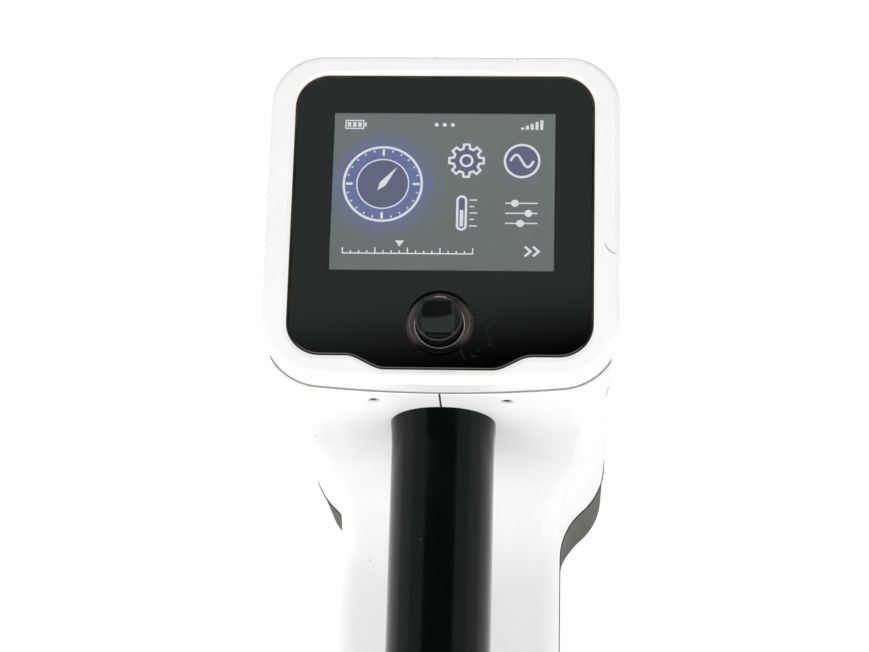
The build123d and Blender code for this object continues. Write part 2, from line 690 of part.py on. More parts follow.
# Face frame: moulded rim with the lens recess, posts for the board and tabs for the neck screws
head_outline = head_plan(0)
head_inside = head_plan(FRAME_RIM)
lens_recess = lens_plan(LENS_SEAL)
lens_opening = lens_plan(-LEDGE_WIDTH)
post_y = HEAD_FRONT - POST_FRONT - POST_PITCH / 2
tab_height = LEDGE_UNDER + LEDGE_THICK / 2 - neck_screw_z + TAB_DROP
with BuildPart() as face_frame:
    with BuildSketch(Plane.XY.offset(FRAME_Z)):
        add(head_outline)
    extrude(amount=FRAME_HEIGHT)
    fillet(face_frame.faces().sort_by(Axis.Z)[-1].edges(), FRAME_ROUND)
    with BuildSketch(Plane.XY.offset(LEDGE_Z)):
        add(lens_recess)
    extrude(amount=FACE_Z - LEDGE_Z, mode=Mode.SUBTRACT)
    face_top = face_frame.faces().filter_by(Axis.Z).sort_by(Axis.Z)[-1]
    chamfer(face_top.inner_wires()[0].edges(), RIM_SLOPE, LENS_SINK - FIT, reference=face_top)
    with BuildSketch(Plane.XY.offset(LEDGE_UNDER)):
        add(lens_opening)
    extrude(amount=LEDGE_THICK, mode=Mode.SUBTRACT)
    with BuildSketch(Plane.XY.offset(FRAME_Z)):
        add(head_inside)
    extrude(amount=LEDGE_UNDER - FRAME_Z, mode=Mode.SUBTRACT)
    with BuildSketch(Plane.XY.offset(BOARD_Z)):
        with Locations((0, post_y)):
            with GridLocations(2 * POST_X, POST_PITCH, 2, 2):
                Circle(POST_R)
    extrude(amount=LEDGE_UNDER + LEDGE_THICK / 2 - BOARD_Z)
    with BuildSketch(Plane.XZ.offset(-(tab_y + TAB_THICK))):
        for side in (-1, 1):
            with Locations((side * NECK_SCREW_X, neck_screw_z - TAB_DROP)):
                Rectangle(TAB_WIDTH, tab_height, align=(Align.CENTER, Align.MIN))
    extrude(amount=TAB_THICK)
    with BuildSketch(Plane.XZ.offset(-(tab_y + TAB_THICK))):
        with Locations((-NECK_SCREW_X, neck_screw_z), (NECK_SCREW_X, neck_screw_z)):
            Circle(SMALL_SCREW_R + THREAD_GAP)
    extrude(amount=TAB_THICK, mode=Mode.SUBTRACT)
    with BuildSketch(Plane.XY.offset(BOARD_Z)):
        with Locations((0, post_y)):
            with GridLocations(2 * POST_X, POST_PITCH, 2, 2):
                Circle(SMALL_SCREW_R + THREAD_GAP)
    extrude(amount=BOARD_SCREW_GRIP + FIT, mode=Mode.SUBTRACT)
write(face_frame, "face_frame")

# Head seal: flush with the shells' sides, with a fine lip behind the frame
shell_outline = body_plan(0)
head_seal_outer = head_plan(-HEAD_LIP)
head_seal_inner = head_plan(OVERHANG + HEAD_SEAL_WIDTH)
with BuildPart() as head_seal:
    with BuildSketch(Plane.XY.offset(SHELL_TOP)):
        add(head_seal_outer)
        add(shell_outline, mode=Mode.INTERSECT)
        add(head_seal_inner, mode=Mode.SUBTRACT)
    extrude(amount=HEAD_SEAL)
write(head_seal, "head_seal")

# Lens with its backing and edge seal
lens_outline = lens_plan(0)
with BuildPart() as lens:
    with BuildSketch(Plane.XY.offset(LENS_Z - LENS_THICK)):
        add(lens_outline)
        with Locations((0, TOGGLE_Y)):
            Circle(TOGGLE_HOLE_R, mode=Mode.SUBTRACT)
    extrude(amount=LENS_THICK)
    chamfer(lens.faces().sort_by(Axis.Z)[-1].outer_wire().edges(), LENS_BEVEL)
write(lens, "lens")

with BuildPart() as lens_mask:
    with BuildSketch(Plane.XY.offset(LEDGE_Z)):
        add(lens_outline)
        with Locations((0, TOGGLE_Y)):
            Circle(TOGGLE_HOLE_R, mode=Mode.SUBTRACT)
        with Locations((0, DISPLAY_Y)):
            Rectangle(WINDOW_WIDTH, WINDOW_LENGTH, mode=Mode.SUBTRACT)
    extrude(amount=MASK_THICK)
write(lens_mask, "lens_mask")

with BuildPart() as lens_seal:
    with BuildSketch(Plane.XY.offset(LEDGE_Z)):
        add(lens_recess)
        add(lens_outline, mode=Mode.SUBTRACT)
    extrude(amount=LENS_THICK + MASK_THICK - FIT)
write(lens_seal, "lens_seal")

# Display panel, its lit frame and the ribbon down to the board
panel_width = WINDOW_WIDTH + 2 * PANEL_BORDER
panel_length = WINDOW_LENGTH + 2 * PANEL_BORDER
light_width = panel_width + 2 * BACKLIGHT_BORDER
light_length = panel_length + 2 * BACKLIGHT_BORDER
light_z = LEDGE_Z - PANEL_THICK - BACKLIGHT_THICK
with BuildPart() as display_panel:
    with BuildSketch(Plane.XY.offset(LEDGE_Z - PANEL_THICK)):
        with Locations((0, DISPLAY_Y)):
            Rectangle(panel_width, panel_length)
    extrude(amount=PANEL_THICK)
write(display_panel, "display_panel")

with BuildPart() as backlight_frame:
    with BuildSketch(Plane.XY.offset(light_z)):
        with Locations((0, DISPLAY_Y)):
            RectangleRounded(light_width, light_length, BACKLIGHT_BORDER)
    extrude(amount=BACKLIGHT_THICK)
write(backlight_frame, "backlight_frame")

ribbon_y = DISPLAY_Y - light_length / 3
ribbon_turn = (light_z - BOARD_Z) / 4
with BuildPart() as display_ribbon:
    with BuildSketch(Plane.YZ.offset(-RIBBON_WIDTH / 2)):
        with BuildLine():
            FilletPolyline(
                (ribbon_y - 2 * ribbon_turn, light_z - RIBBON_THICK / 2),
                (ribbon_y + 2 * ribbon_turn, light_z - RIBBON_THICK / 2),
                (ribbon_y + 2 * ribbon_turn, BOARD_Z + RIBBON_THICK / 2),
                (ribbon_y - 2 * ribbon_turn, BOARD_Z + RIBBON_THICK / 2),
                radius=ribbon_turn,
            )
        trace(line_width=RIBBON_THICK)
    extrude(amount=RIBBON_WIDTH)
write(display_ribbon, "display_ribbon")

# Main board with its chips and screws
board_plan = body_plan(WALL + BOARD_MARGIN)
board_rear = TOGGLE_Y - TOGGLE_BOX / 2 - BOARD_MARGIN
with BuildPart() as main_board:
    with BuildSketch(Plane.XY.offset(BOARD_UNDER)):
        add(board_plan)
        with Locations((0, board_rear)):
            Rectangle(WIDTH, LENGTH, align=(Align.CENTER, Align.MIN), mode=Mode.INTERSECT)
        for side in (-1, 1):
            with Locations((side * NECK_SCREW_X, tab_y - BOARD_MARGIN)):
                Rectangle(
                    TAB_WIDTH + 2 * BOARD_MARGIN,
                    TAB_THICK + 2 * BOARD_MARGIN,
                    align=(Align.CENTER, Align.MIN),
                    mode=Mode.SUBTRACT,
                )
        with Locations((0, post_y)):
            with GridLocations(2 * POST_X, POST_PITCH, 2, 2):
                Circle(SMALL_SCREW_R + THREAD_GAP, mode=Mode.SUBTRACT)
    extrude(amount=BOARD_THICK)
write(main_board, "main_board")

with BuildPart() as board_chips:
    with BuildSketch(Plane.XY.offset(BOARD_Z)):
        with Locations((0, DISPLAY_Y + CHIP_AHEAD)):
            with GridLocations(CHIP_PITCH, CHIP_PITCH, 3, 2):
                Rectangle(CHIP_SIDE, CHIP_SIDE)
    extrude(amount=CHIP_HEIGHT)
write(board_chips, "board_chips")

with BuildPart() as board_screws:
    with BuildSketch(Plane.XY.offset(BOARD_UNDER)):
        with Locations((0, post_y)):
            with GridLocations(2 * POST_X, POST_PITCH, 2, 2):
                Circle(SMALL_HEAD_R)
    extrude(amount=-SMALL_HEAD)
    with BuildSketch(Plane.XY.offset(BOARD_UNDER)):
        with Locations((0, post_y)):
            with GridLocations(2 * POST_X, POST_PITCH, 2, 2):
                Circle(SMALL_SCREW_R)
    extrude(amount=BOARD_THICK + BOARD_SCREW_GRIP)
write(board_screws, "board_screws")

# Toggle: bowl-shaped collar in the lens, housing on the board, gimbal ring, stem and cap
bowl_z = LENS_Z - BOWL_DEPTH
pivot_z = bowl_z - sqrt((DOME_R + FIT) ** 2 - BOWL_R**2)
collar_z = bowl_z - COLLAR_DEPTH
housing_top = collar_z
collar_r = TOGGLE_HOLE_R - COLLAR_GAP
collar_top = LENS_Z - COLLAR_SINK
toggle_plane = Plane(origin=(0, TOGGLE_Y, 0), x_dir=(1, 0, 0), z_dir=(0, -1, 0))
with BuildPart() as toggle_collar:
    with BuildSketch(toggle_plane):
        with BuildLine():
            Polyline(
                (BOWL_R, bowl_z),
                (BOWL_R, bowl_z - FIT),
                (sqrt((DOME_R + 2 * FIT) ** 2 - (collar_z - pivot_z) ** 2), collar_z),
                (COLLAR_FLANGE_R, collar_z),
                (COLLAR_FLANGE_R, LEDGE_Z),
                (collar_r, LEDGE_Z),
                (collar_r, collar_top),
                (collar_r - FIT, collar_top),
                close=True,
            )
        make_face()
    revolve(axis=Axis((0, TOGGLE_Y, 0), (0, 0, 1)))
write(toggle_collar, "toggle_collar")

with BuildPart() as toggle_housing:
    with BuildSketch(Plane.XY.offset(BOARD_Z)):
        with Locations((0, TOGGLE_Y)):
            RectangleRounded(TOGGLE_BOX, TOGGLE_BOX, TOGGLE_FLOOR)
    extrude(amount=housing_top - BOARD_Z)
    with BuildSketch(Plane.XY.offset(BOARD_Z + TOGGLE_FLOOR)):
        with Locations((0, TOGGLE_Y)):
            Circle(TOGGLE_WELL_R)
    extrude(amount=housing_top - BOARD_Z, mode=Mode.SUBTRACT)
    with BuildSketch(Plane.YZ):
        with Locations((TOGGLE_Y, pivot_z)):
            Circle(GIMBAL_PIN_R + RUN)
    extrude(amount=TOGGLE_BOX, both=True, mode=Mode.SUBTRACT)
write(toggle_housing, "toggle_housing")

gimbal_reach = TOGGLE_BOX / 2 - FIT
with BuildPart() as toggle_gimbal:
    with BuildSketch(Plane.XY.offset(pivot_z - GIMBAL_HEIGHT / 2)):
        with Locations((0, TOGGLE_Y)):
            Circle(GIMBAL_R)
            Circle(GIMBAL_BORE, mode=Mode.SUBTRACT)
    extrude(amount=GIMBAL_HEIGHT)
    with BuildSketch(Plane.YZ.offset(gimbal_reach)):
        with Locations((TOGGLE_Y, pivot_z)):
            Circle(GIMBAL_PIN_R)
    extrude(amount=-(gimbal_reach - (GIMBAL_R + GIMBAL_BORE) / 2))
    with BuildSketch(Plane.YZ.offset(-gimbal_reach)):
        with Locations((TOGGLE_Y, pivot_z)):
            Circle(GIMBAL_PIN_R)
    extrude(amount=gimbal_reach - (GIMBAL_R + GIMBAL_BORE) / 2)
    with BuildSketch(Plane.XZ.offset(-TOGGLE_Y)):
        with Locations((0, pivot_z)):
            Circle(GIMBAL_PIN_R + RUN)
    extrude(amount=TOGGLE_BOX, both=True, mode=Mode.SUBTRACT)
write(toggle_gimbal, "toggle_gimbal")

cap_under = LENS_Z + CAP_GAP
cap_top = HEIGHT - PAD_RISE
stem_foot = pivot_z - 2 * GIMBAL_HEIGHT
with BuildPart() as toggle_stem:
    with BuildSketch(Plane.XY.offset(stem_foot)):
        with Locations((0, TOGGLE_Y)):
            Circle(STEM_R)
    extrude(amount=cap_under + CAP_GAP - stem_foot)
    with BuildSketch(Plane.XZ.offset(-TOGGLE_Y)):
        with Locations((0, pivot_z)):
            Circle(GIMBAL_PIN_R)
    extrude(amount=GIMBAL_R - FIT, both=True)
write(toggle_stem, "toggle_stem")

dome_foot = pivot_z + DOME_SKIRT
dome_edge = sqrt(DOME_R**2 - DOME_SKIRT**2)
dome_inner = DOME_R - DOME_WALL
dome_inner_edge = sqrt(dome_inner**2 - DOME_SKIRT**2)
neck_r = STEM_R + DOME_WALL
dome_top = pivot_z + sqrt(DOME_R**2 - neck_r**2)
socket_r = STEM_R + THREAD_GAP
socket_z = cap_under + CAP_GAP + THREAD_GAP
dome_inner_top = pivot_z + sqrt(dome_inner**2 - socket_r**2)
with BuildPart() as toggle_cap:
    with BuildSketch(toggle_plane):
        with BuildLine():
            Polyline(
                (socket_r, dome_inner_top),
                (socket_r, socket_z),
                (0, socket_z),
                (0, cap_top),
                (CAP_R, cap_top),
                (CAP_R, cap_under),
                (neck_r, cap_under),
                (neck_r, dome_top),
            )
            RadiusArc((neck_r, dome_top), (dome_edge, dome_foot), DOME_R)
            Line((dome_edge, dome_foot), (dome_inner_edge, dome_foot))
            RadiusArc((dome_inner_edge, dome_foot), (socket_r, dome_inner_top), -dome_inner)
        make_face()
    revolve(axis=Axis((0, TOGGLE_Y, 0), (0, 0, 1)))
    rim = toggle_cap.faces().filter_by(GeomType.CYLINDER).sort_by(lambda face: face.radius)[-1]
    fillet(rim.edges().filter_by(GeomType.CIRCLE), CAP_ROUND)
    with BuildSketch(Plane.XY.offset(cap_top)):
        with Locations((0, TOGGLE_Y)):
            RectangleRounded(PAD_SIDE, PAD_SIDE, PAD_RISE)
    extrude(amount=PAD_RISE)
    with Locations((0, TOGGLE_Y, HEIGHT + PAD_DISH_R - PAD_DISH)):
        Sphere(PAD_DISH_R, mode=Mode.SUBTRACT)
write(toggle_cap, "toggle_cap")

# Grip sleeve on the handle, flared where it meets the neck
grip_flare = (
    (NECK_Y + WALL, GRIP_FLARE),
    (NECK_Y + (WALL - FLARE_LENGTH) / 2, GRIP_FLARE / 4),
    (NECK_Y - FLARE_LENGTH, 0.0),
)
with BuildPart() as grip:
    for y, swell in grip_flare:
        with BuildSketch(Plane.XZ.offset(-y)):
            with Locations((0, HANDLE_Z)):
                RectangleRounded(GRIP_WIDTH + 2 * swell, GRIP_HEIGHT + 2 * swell, GRIP_CORNER + swell)
    loft()
    with BuildSketch(Plane.XZ.offset(-(NECK_Y - FLARE_LENGTH))):
        with Locations((0, HANDLE_Z)):
            RectangleRounded(GRIP_WIDTH, GRIP_HEIGHT, GRIP_CORNER)
    extrude(amount=NECK_Y - FLARE_LENGTH - GRIP_END)
    add(core, mode=Mode.SUBTRACT)
    add(block, mode=Mode.SUBTRACT)
    with BuildSketch(Plane.XY.offset(HANDLE_Z - GRIP_HEIGHT / 2 - GRIP_FLARE)):
        with Locations((0, (slot_front + slot_rear) / 2)):
            Rectangle(TRIGGER_WIDTH + 2 * TRIGGER_GAP, slot_front - slot_rear)
    extrude(amount=GRIP_HEIGHT / 2, mode=Mode.SUBTRACT)
write(grip, "grip")

# Trigger under the grip, with its pin, spring, bracket and switch
grip_bottom = HANDLE_Z - GRIP_HEIGHT / 2
trigger_low = grip_bottom - TRIGGER_DROP
trigger_top = trigger_z - TRIGGER_HUB_R / 2
with BuildPart() as trigger:
    with BuildSketch(Plane.YZ.offset(-trigger_half)):
        with BuildLine():
            Polyline(
                (trigger_tail, trigger_low + TRIGGER_TAIL_RISE),
                (trigger_tail, trigger_top),
                (trigger_y - TRIGGER_HUB_R, trigger_top),
                (trigger_y - TRIGGER_HUB_R, trigger_z),
            )
            ThreePointArc(
                (trigger_y - TRIGGER_HUB_R, trigger_z),
                (trigger_y, trigger_z + TRIGGER_HUB_R),
                (trigger_y + TRIGGER_HUB_R, trigger_z),
            )
            Line((trigger_y + TRIGGER_HUB_R, trigger_z), (trigger_y + TRIGGER_HUB_R, trigger_low))
            ThreePointArc(
                (trigger_y + TRIGGER_HUB_R, trigger_low),
                (trigger_y + TRIGGER_HUB_R - TRIGGER_LENGTH / 2, trigger_low + TRIGGER_ARCH),
                (trigger_tail, trigger_low + TRIGGER_TAIL_RISE),
            )
        make_face()
    extrude(amount=TRIGGER_WIDTH)
    finger = trigger.faces().filter_by(GeomType.CYLINDER).sort_by(Axis.Z)[0]
    fillet(finger.edges().filter_by(GeomType.CIRCLE), FINGER_ROUND)
    with BuildSketch(Plane.YZ.offset(-trigger_half)):
        with Locations((trigger_y, trigger_z)):
            Circle(PIN_R + RUN)
    extrude(amount=TRIGGER_WIDTH, mode=Mode.SUBTRACT)
write(trigger, "trigger")

with BuildPart() as trigger_pin:
    with BuildSketch(Plane.YZ):
        with Locations((trigger_y, trigger_z)):
            Circle(PIN_R)
    extrude(amount=PIN_LENGTH / 2, both=True)
write(trigger_pin, "trigger_pin")

bracket_half = core_inner_half - FIT
with BuildPart() as trigger_bracket:
    with BuildSketch(Plane.XY.offset(bracket_z)):
        with Locations((0, trigger_tail)):
            Rectangle(2 * bracket_half, BRACKET_LENGTH, align=(Align.CENTER, Align.MIN))
    extrude(amount=BRACKET_THICK)
write(trigger_bracket, "trigger_bracket")

plunger_y = trigger_y - PLUNGER_ARM
with BuildPart() as trigger_switch:
    with BuildSketch(Plane.XY.offset(bracket_z)):
        with Locations((0, plunger_y)):
            Rectangle(SWITCH_WIDTH, SWITCH_LENGTH)
    extrude(amount=-SWITCH_HEIGHT)
    with BuildSketch(Plane.XY.offset(bracket_z - SWITCH_HEIGHT)):
        with Locations((0, plunger_y)):
            Rectangle(PLUNGER_WIDTH + FIT, PLUNGER_LENGTH + FIT)
    extrude(amount=PLUNGER_POCKET, mode=Mode.SUBTRACT)
write(trigger_switch, "trigger_switch")

plunger_lift = PLUNGER_ARM * radians(TRIGGER_TRAVEL)
plunger_foot = trigger_top + FIT
with BuildPart() as switch_plunger:
    with BuildSketch(Plane.XY.offset(plunger_foot)):
        with Locations((0, plunger_y)):
            Rectangle(PLUNGER_WIDTH, PLUNGER_LENGTH)
    extrude(amount=bracket_z - SWITCH_HEIGHT + PLUNGER_POCKET - plunger_lift - FIT - plunger_foot)
write(switch_plunger, "switch_plunger")

spring_y = trigger_y - SPRING_ARM
spring_z = trigger_top + SPRING_WIRE_R
spring_height = bracket_z - SPRING_WIRE_R - spring_z
with BuildPart() as trigger_spring:
    with BuildLine():
        Helix(spring_height / SPRING_TURNS, spring_height, SPRING_R, center=(0, spring_y, spring_z))
    with BuildSketch(Plane(origin=(SPRING_R, spring_y, spring_z), z_dir=(0, 1, 0))):
        Circle(SPRING_WIRE_R)
    sweep(is_frenet=True)
write(trigger_spring, "trigger_spring")

lead_z = bracket_z - SWITCH_HEIGHT / 2
trigger_lead_y = HEAD_REAR + 4 * SHELL_BOSS_R
switch_front = plunger_y + SWITCH_LENGTH / 2
with BuildPart() as trigger_lead:
    with BuildLine():
        FilletPolyline(
            (0, switch_front, lead_z),
            (0, trigger_lead_y, lead_z),
            (0, trigger_lead_y, BOARD_UNDER),
            radius=(BOARD_UNDER - lead_z) / 2,
        )
    with BuildSketch(Plane(origin=(0, switch_front, lead_z), z_dir=(0, 1, 0))):
        Circle(TRIGGER_LEAD_R)
    sweep()
write(trigger_lead, "trigger_lead")

# Infrared window in the front, with its board behind the wall
with BuildPart() as signal_window:
    with BuildSketch(Plane.XZ.offset(-BODY_FRONT + FIT)):
        with Locations((0, signal_z)):
            RectangleRounded(SIGNAL_WIDTH, SIGNAL_HEIGHT, SIGNAL_LIP)
    extrude(amount=SIGNAL_THICK - FIT)
write(signal_window, "signal_window")

inner_front = BODY_FRONT - WALL
emitter_r = SIGNAL_HEIGHT / 2 - SIGNAL_LIP - FIT
with BuildPart() as signal_board:
    with BuildSketch(Plane.XZ.offset(-inner_front)):
        with Locations((0, signal_z)):
            Rectangle(SIGNAL_WIDTH, SIGNAL_HEIGHT)
    extrude(amount=SIGNAL_BOARD_THICK)
    with BuildSketch(Plane.XZ.offset(-inner_front)):
        with Locations((0, signal_z)):
            with GridLocations(3 * emitter_r, 0, 3, 1):
                Circle(emitter_r)
    extrude(amount=-(WALL - SIGNAL_THICK) / 2)
write(signal_board, "signal_board")

# Speaker behind the slots of the right shell
speaker_front = inner_front - SPEAKER_SEAL
speaker_plane = Plane(origin=(SPEAKER_X, speaker_front, speaker_z))
with BuildPart() as speaker:
    with BuildSketch(speaker_plane):
        with BuildLine():
            Polyline(
                (0, -SPEAKER_DEPTH),
                (MAGNET_R, -SPEAKER_DEPTH),
                (MAGNET_R, MAGNET_DEPTH - SPEAKER_DEPTH),
                (SPEAKER_R - BASKET_RIM, -SPEAKER_SEAL),
                (SPEAKER_R, -SPEAKER_SEAL),
                (SPEAKER_R, 0),
                (SPEAKER_R - SPEAKER_RIM, 0),
                (CONE_R, -CONE_DEPTH),
                (0, -CONE_DEPTH),
                close=True,
            )
        make_face()
    revolve(axis=Axis((SPEAKER_X, speaker_front, speaker_z), (0, 1, 0)))
write(speaker, "speaker")

with BuildPart() as speaker_seal:
    with BuildSketch(Plane.XZ.offset(-inner_front)):
        with Locations((SPEAKER_X, speaker_z)):
            Circle(SPEAKER_R)
            Circle(SPEAKER_R - SPEAKER_RIM, mode=Mode.SUBTRACT)
    extrude(amount=SPEAKER_SEAL)
write(speaker_seal, "speaker_seal")

# Antennas: two crossed rods in the upright plane and one across, each with its winding
antenna_y = HEAD_FRONT - ANTENNA_SETBACK
lean_y = cos(radians(ANTENNA_TILT))
lean_z = sin(radians(ANTENNA_TILT))
cross_y = antenna_y + CROSS_AHEAD
lug_half = ROD_R + LUG_MARGIN
right_seat = (ANTENNA_SIDE, antenna_y, ANTENNA_Z)
left_seat = (-ANTENNA_SIDE, antenna_y, ANTENNA_Z)
rod_planes = {
    "rising": Plane(origin=right_seat, x_dir=(1, 0, 0), z_dir=(0, lean_y, lean_z)),
    "falling": Plane(origin=left_seat, x_dir=(1, 0, 0), z_dir=(0, lean_y, -lean_z)),
    "cross": Plane(origin=(0, cross_y, CROSS_Z), x_dir=(0, 1, 0), z_dir=(1, 0, 0)),
}
for name, plane in rod_planes.items():
    with BuildPart() as antenna_rod:
        with BuildSketch(plane):
            Circle(ROD_R)
        extrude(amount=ROD_LENGTH / 2, both=True)
    write(antenna_rod, f"antenna_rod_{name}")
    with BuildPart() as antenna_coil:
        with BuildSketch(plane):
            Circle(COIL_R)
        extrude(amount=COIL_LENGTH / 2, both=True)
        for end in (-1, 1):
            with BuildSketch(plane.offset(end * (COIL_LENGTH - FLANGE_THICK) / 2)):
                Circle(FLANGE_R)
            extrude(amount=FLANGE_THICK / 2, both=True)
        with BuildSketch(plane):
            Circle(ROD_R + FIT)
        extrude(amount=COIL_LENGTH, both=True, mode=Mode.SUBTRACT)
    write(antenna_coil, f"antenna_coil_{name}")

beam_y = antenna_y + MAST_WIDTH / 2
with BuildPart() as antenna_mast:
    with BuildSketch(Plane.XY.offset(BASE_FLOOR)):
        with Locations((0, antenna_y)):
            RectangleRounded(MAST_FOOT, MAST_FOOT, MAST_THICK)
    extrude(amount=MAST_THICK)
    with BuildSketch(Plane.XY.offset(BASE_FLOOR)):
        with Locations((0, antenna_y)):
            Rectangle(MAST_THICK, MAST_WIDTH)
    extrude(amount=ANTENNA_Z - BASE_FLOOR)
    with BuildSketch(Plane.YZ):
        with Locations((antenna_y, ANTENNA_Z)):
            for tilt in (-ANTENNA_TILT, ANTENNA_TILT):
                Rectangle(2 * LUG_REACH + LUG_THICK, MAST_WIDTH, rotation=tilt)
    extrude(amount=MAST_THICK / 2, both=True)
    with BuildSketch(Plane.XZ.offset(-beam_y)):
        with Locations((0, CROSS_Z)):
            Rectangle(2 * LUG_REACH + LUG_THICK, MAST_WIDTH)
    extrude(amount=MAST_THICK)
    for name, inward in (("rising", -1), ("falling", 1)):
        for end in (-1, 1):
            with BuildSketch(rod_planes[name].offset(end * LUG_REACH)):
                with Locations((inward * (ANTENNA_SIDE - lug_half) / 2, 0)):
                    Rectangle(ANTENNA_SIDE + lug_half, 2 * lug_half)
                Circle(ROD_R + FIT, mode=Mode.SUBTRACT)
            extrude(amount=LUG_THICK / 2, both=True)
    for end in (-1, 1):
        with BuildSketch(rod_planes["cross"].offset(end * LUG_REACH)):
            with Locations(((beam_y - MAST_THICK - cross_y + lug_half) / 2, 0)):
                Rectangle(lug_half - (beam_y - MAST_THICK - cross_y), 2 * lug_half)
            Circle(ROD_R + FIT, mode=Mode.SUBTRACT)
        extrude(amount=LUG_THICK / 2, both=True)
write(antenna_mast, "antenna_mast")

# Leads from the windings, the speaker and the signal board up to the main board
coil_rise = COIL_R * sqrt(2) + 2 * LEAD_R
cross_lead_x = (COIL_LENGTH - FLANGE_THICK) / 2
lead_feet = (
    (ANTENNA_SIDE, antenna_y, ANTENNA_Z + coil_rise),
    (-ANTENNA_SIDE, antenna_y, ANTENNA_Z + coil_rise),
    (cross_lead_x, cross_y, CROSS_Z + FLANGE_R),
)
with BuildPart() as antenna_leads:
    for foot in lead_feet:
        with BuildSketch(Plane(origin=foot)):
            Circle(LEAD_R)
        extrude(amount=BOARD_UNDER - foot[2])
write(antenna_leads, "antenna_leads")

speaker_back = speaker_front - SPEAKER_DEPTH
with BuildPart() as speaker_lead:
    with BuildLine():
        FilletPolyline(
            (SPEAKER_X, speaker_back, speaker_z),
            (SPEAKER_X, speaker_back - LEAD_RUN, speaker_z),
            (SPEAKER_X, speaker_back - LEAD_RUN, BOARD_UNDER),
            radius=LEAD_RUN / 2,
        )
    with BuildSketch(Plane(origin=(SPEAKER_X, speaker_back, speaker_z), z_dir=(0, -1, 0))):
        Circle(LEAD_R)
    sweep()
write(speaker_lead, "speaker_lead")

signal_back = inner_front - SIGNAL_BOARD_THICK
signal_lead_x = SIGNAL_WIDTH / 4
with BuildPart() as signal_lead:
    with BuildLine():
        FilletPolyline(
            (signal_lead_x, signal_back, signal_z),
            (signal_lead_x, signal_back - LEAD_RUN, signal_z),
            (signal_lead_x, signal_back - LEAD_RUN, BOARD_UNDER),
            radius=LEAD_RUN / 2,
        )
    with BuildSketch(Plane(origin=(signal_lead_x, signal_back, signal_z), z_dir=(0, -1, 0))):
        Circle(LEAD_R)
    sweep()
write(signal_lead, "signal_lead")

# Base: tub with an arch between the front and the rear foot
base_outline = body_plan(BASE_INSET)
base_inside = body_plan(BASE_INSET + WALL)
arch_top = FOOT_HEIGHT + ARCH_RISE
hump_top = arch_top + WALL
hump_run = WALL * sqrt(2)
bay_gap = BAY_WALL + BATTERY_GAP
battery_z = hump_top + bay_gap + BATTERY_HEIGHT / 2
bay_rear = BASE_REAR + WALL
battery_rear = BODY_REAR
battery_front = battery_rear + BATTERY_LENGTH
bay_inside = battery_front + BAY_CLEAR
bay_front = bay_inside + BAY_WALL
with BuildPart() as tub_hollow:
    with BuildSketch(Plane.XY.offset(BASE_FLOOR)):
        add(base_inside)
    extrude(amount=BASE_TOP - BASE_FLOOR)
    with BuildSketch(Plane.YZ):
        with BuildLine():
            Polyline(
                (ARCH_REAR - hump_run, FOOT_HEIGHT),
                (ARCH_REAR - hump_run + ARCH_RISE + WALL, hump_top),
                (ARCH_FRONT + hump_run - ARCH_RISE - WALL, hump_top),
                (ARCH_FRONT + hump_run, FOOT_HEIGHT),
                close=True,
            )
        make_face()
    extrude(amount=WIDTH, both=True, mode=Mode.SUBTRACT)
with BuildPart() as base_tub:
    with BuildSketch(Plane.XY.offset(FOOT_HEIGHT)):
        add(base_outline)
    extrude(amount=BASE_TOP - FOOT_HEIGHT)
    fillet(base_tub.faces().sort_by(Axis.Z)[0].edges(), BASE_ROUND)
    add(tub_hollow.part, mode=Mode.SUBTRACT)
    with BuildSketch(Plane.XY.offset(BASE_FLOOR - WALL / 2)):
        with Locations(*base_boss_places()):
            Circle(BASE_BOSS_R)
    extrude(amount=BASE_TOP - BASE_FLOOR + WALL / 2)
    with BuildSketch(Plane.XY.offset(BASE_FLOOR - WALL / 2)):
        with Locations((-BAY_RIB_X, bay_rear), (BAY_RIB_X, bay_rear)):
            Rectangle(WALL, bay_front - bay_rear, align=(Align.CENTER, Align.MIN))
    extrude(amount=hump_top - BASE_FLOOR + WALL / 2)
    with BuildSketch(Plane.XZ.offset(-bay_front)):
        with Locations((0, battery_z)):
            Rectangle(BATTERY_WIDTH + 2 * bay_gap, BATTERY_HEIGHT + 2 * bay_gap)
    extrude(amount=bay_front - bay_rear, mode=Mode.SUBTRACT)
    with BuildSketch(Plane.YZ):
        with BuildLine():
            Polyline(
                (ARCH_REAR - FOOT_HEIGHT, 0),
                (ARCH_REAR + ARCH_RISE, arch_top),
                (ARCH_FRONT - ARCH_RISE, arch_top),
                (ARCH_FRONT + FOOT_HEIGHT, 0),
                close=True,
            )
        make_face()
    extrude(amount=WIDTH, both=True, mode=Mode.SUBTRACT)
    with BuildSketch(Plane.XZ.offset(-bay_rear)):
        with Locations((0, battery_z)):
            RectangleRounded(
                BATTERY_WIDTH + 2 * BATTERY_GAP,
                BATTERY_HEIGHT + 2 * BATTERY_GAP,
                BATTERY_ROUND + BATTERY_GAP,
            )
    extrude(amount=2 * WALL, mode=Mode.SUBTRACT)
    with BuildSketch(Plane.XY):
        with Locations(*base_boss_places()):
            Circle(BASE_WELL_R)
    extrude(amount=BASE_TOP - BASE_HEAD_DROP, mode=Mode.SUBTRACT)
    with BuildSketch(Plane.XY):
        with Locations(*base_boss_places()):
            Circle(SMALL_SCREW_R + THREAD_GAP)
    extrude(amount=BASE_TOP, mode=Mode.SUBTRACT)
write(base_tub, "base_tub")

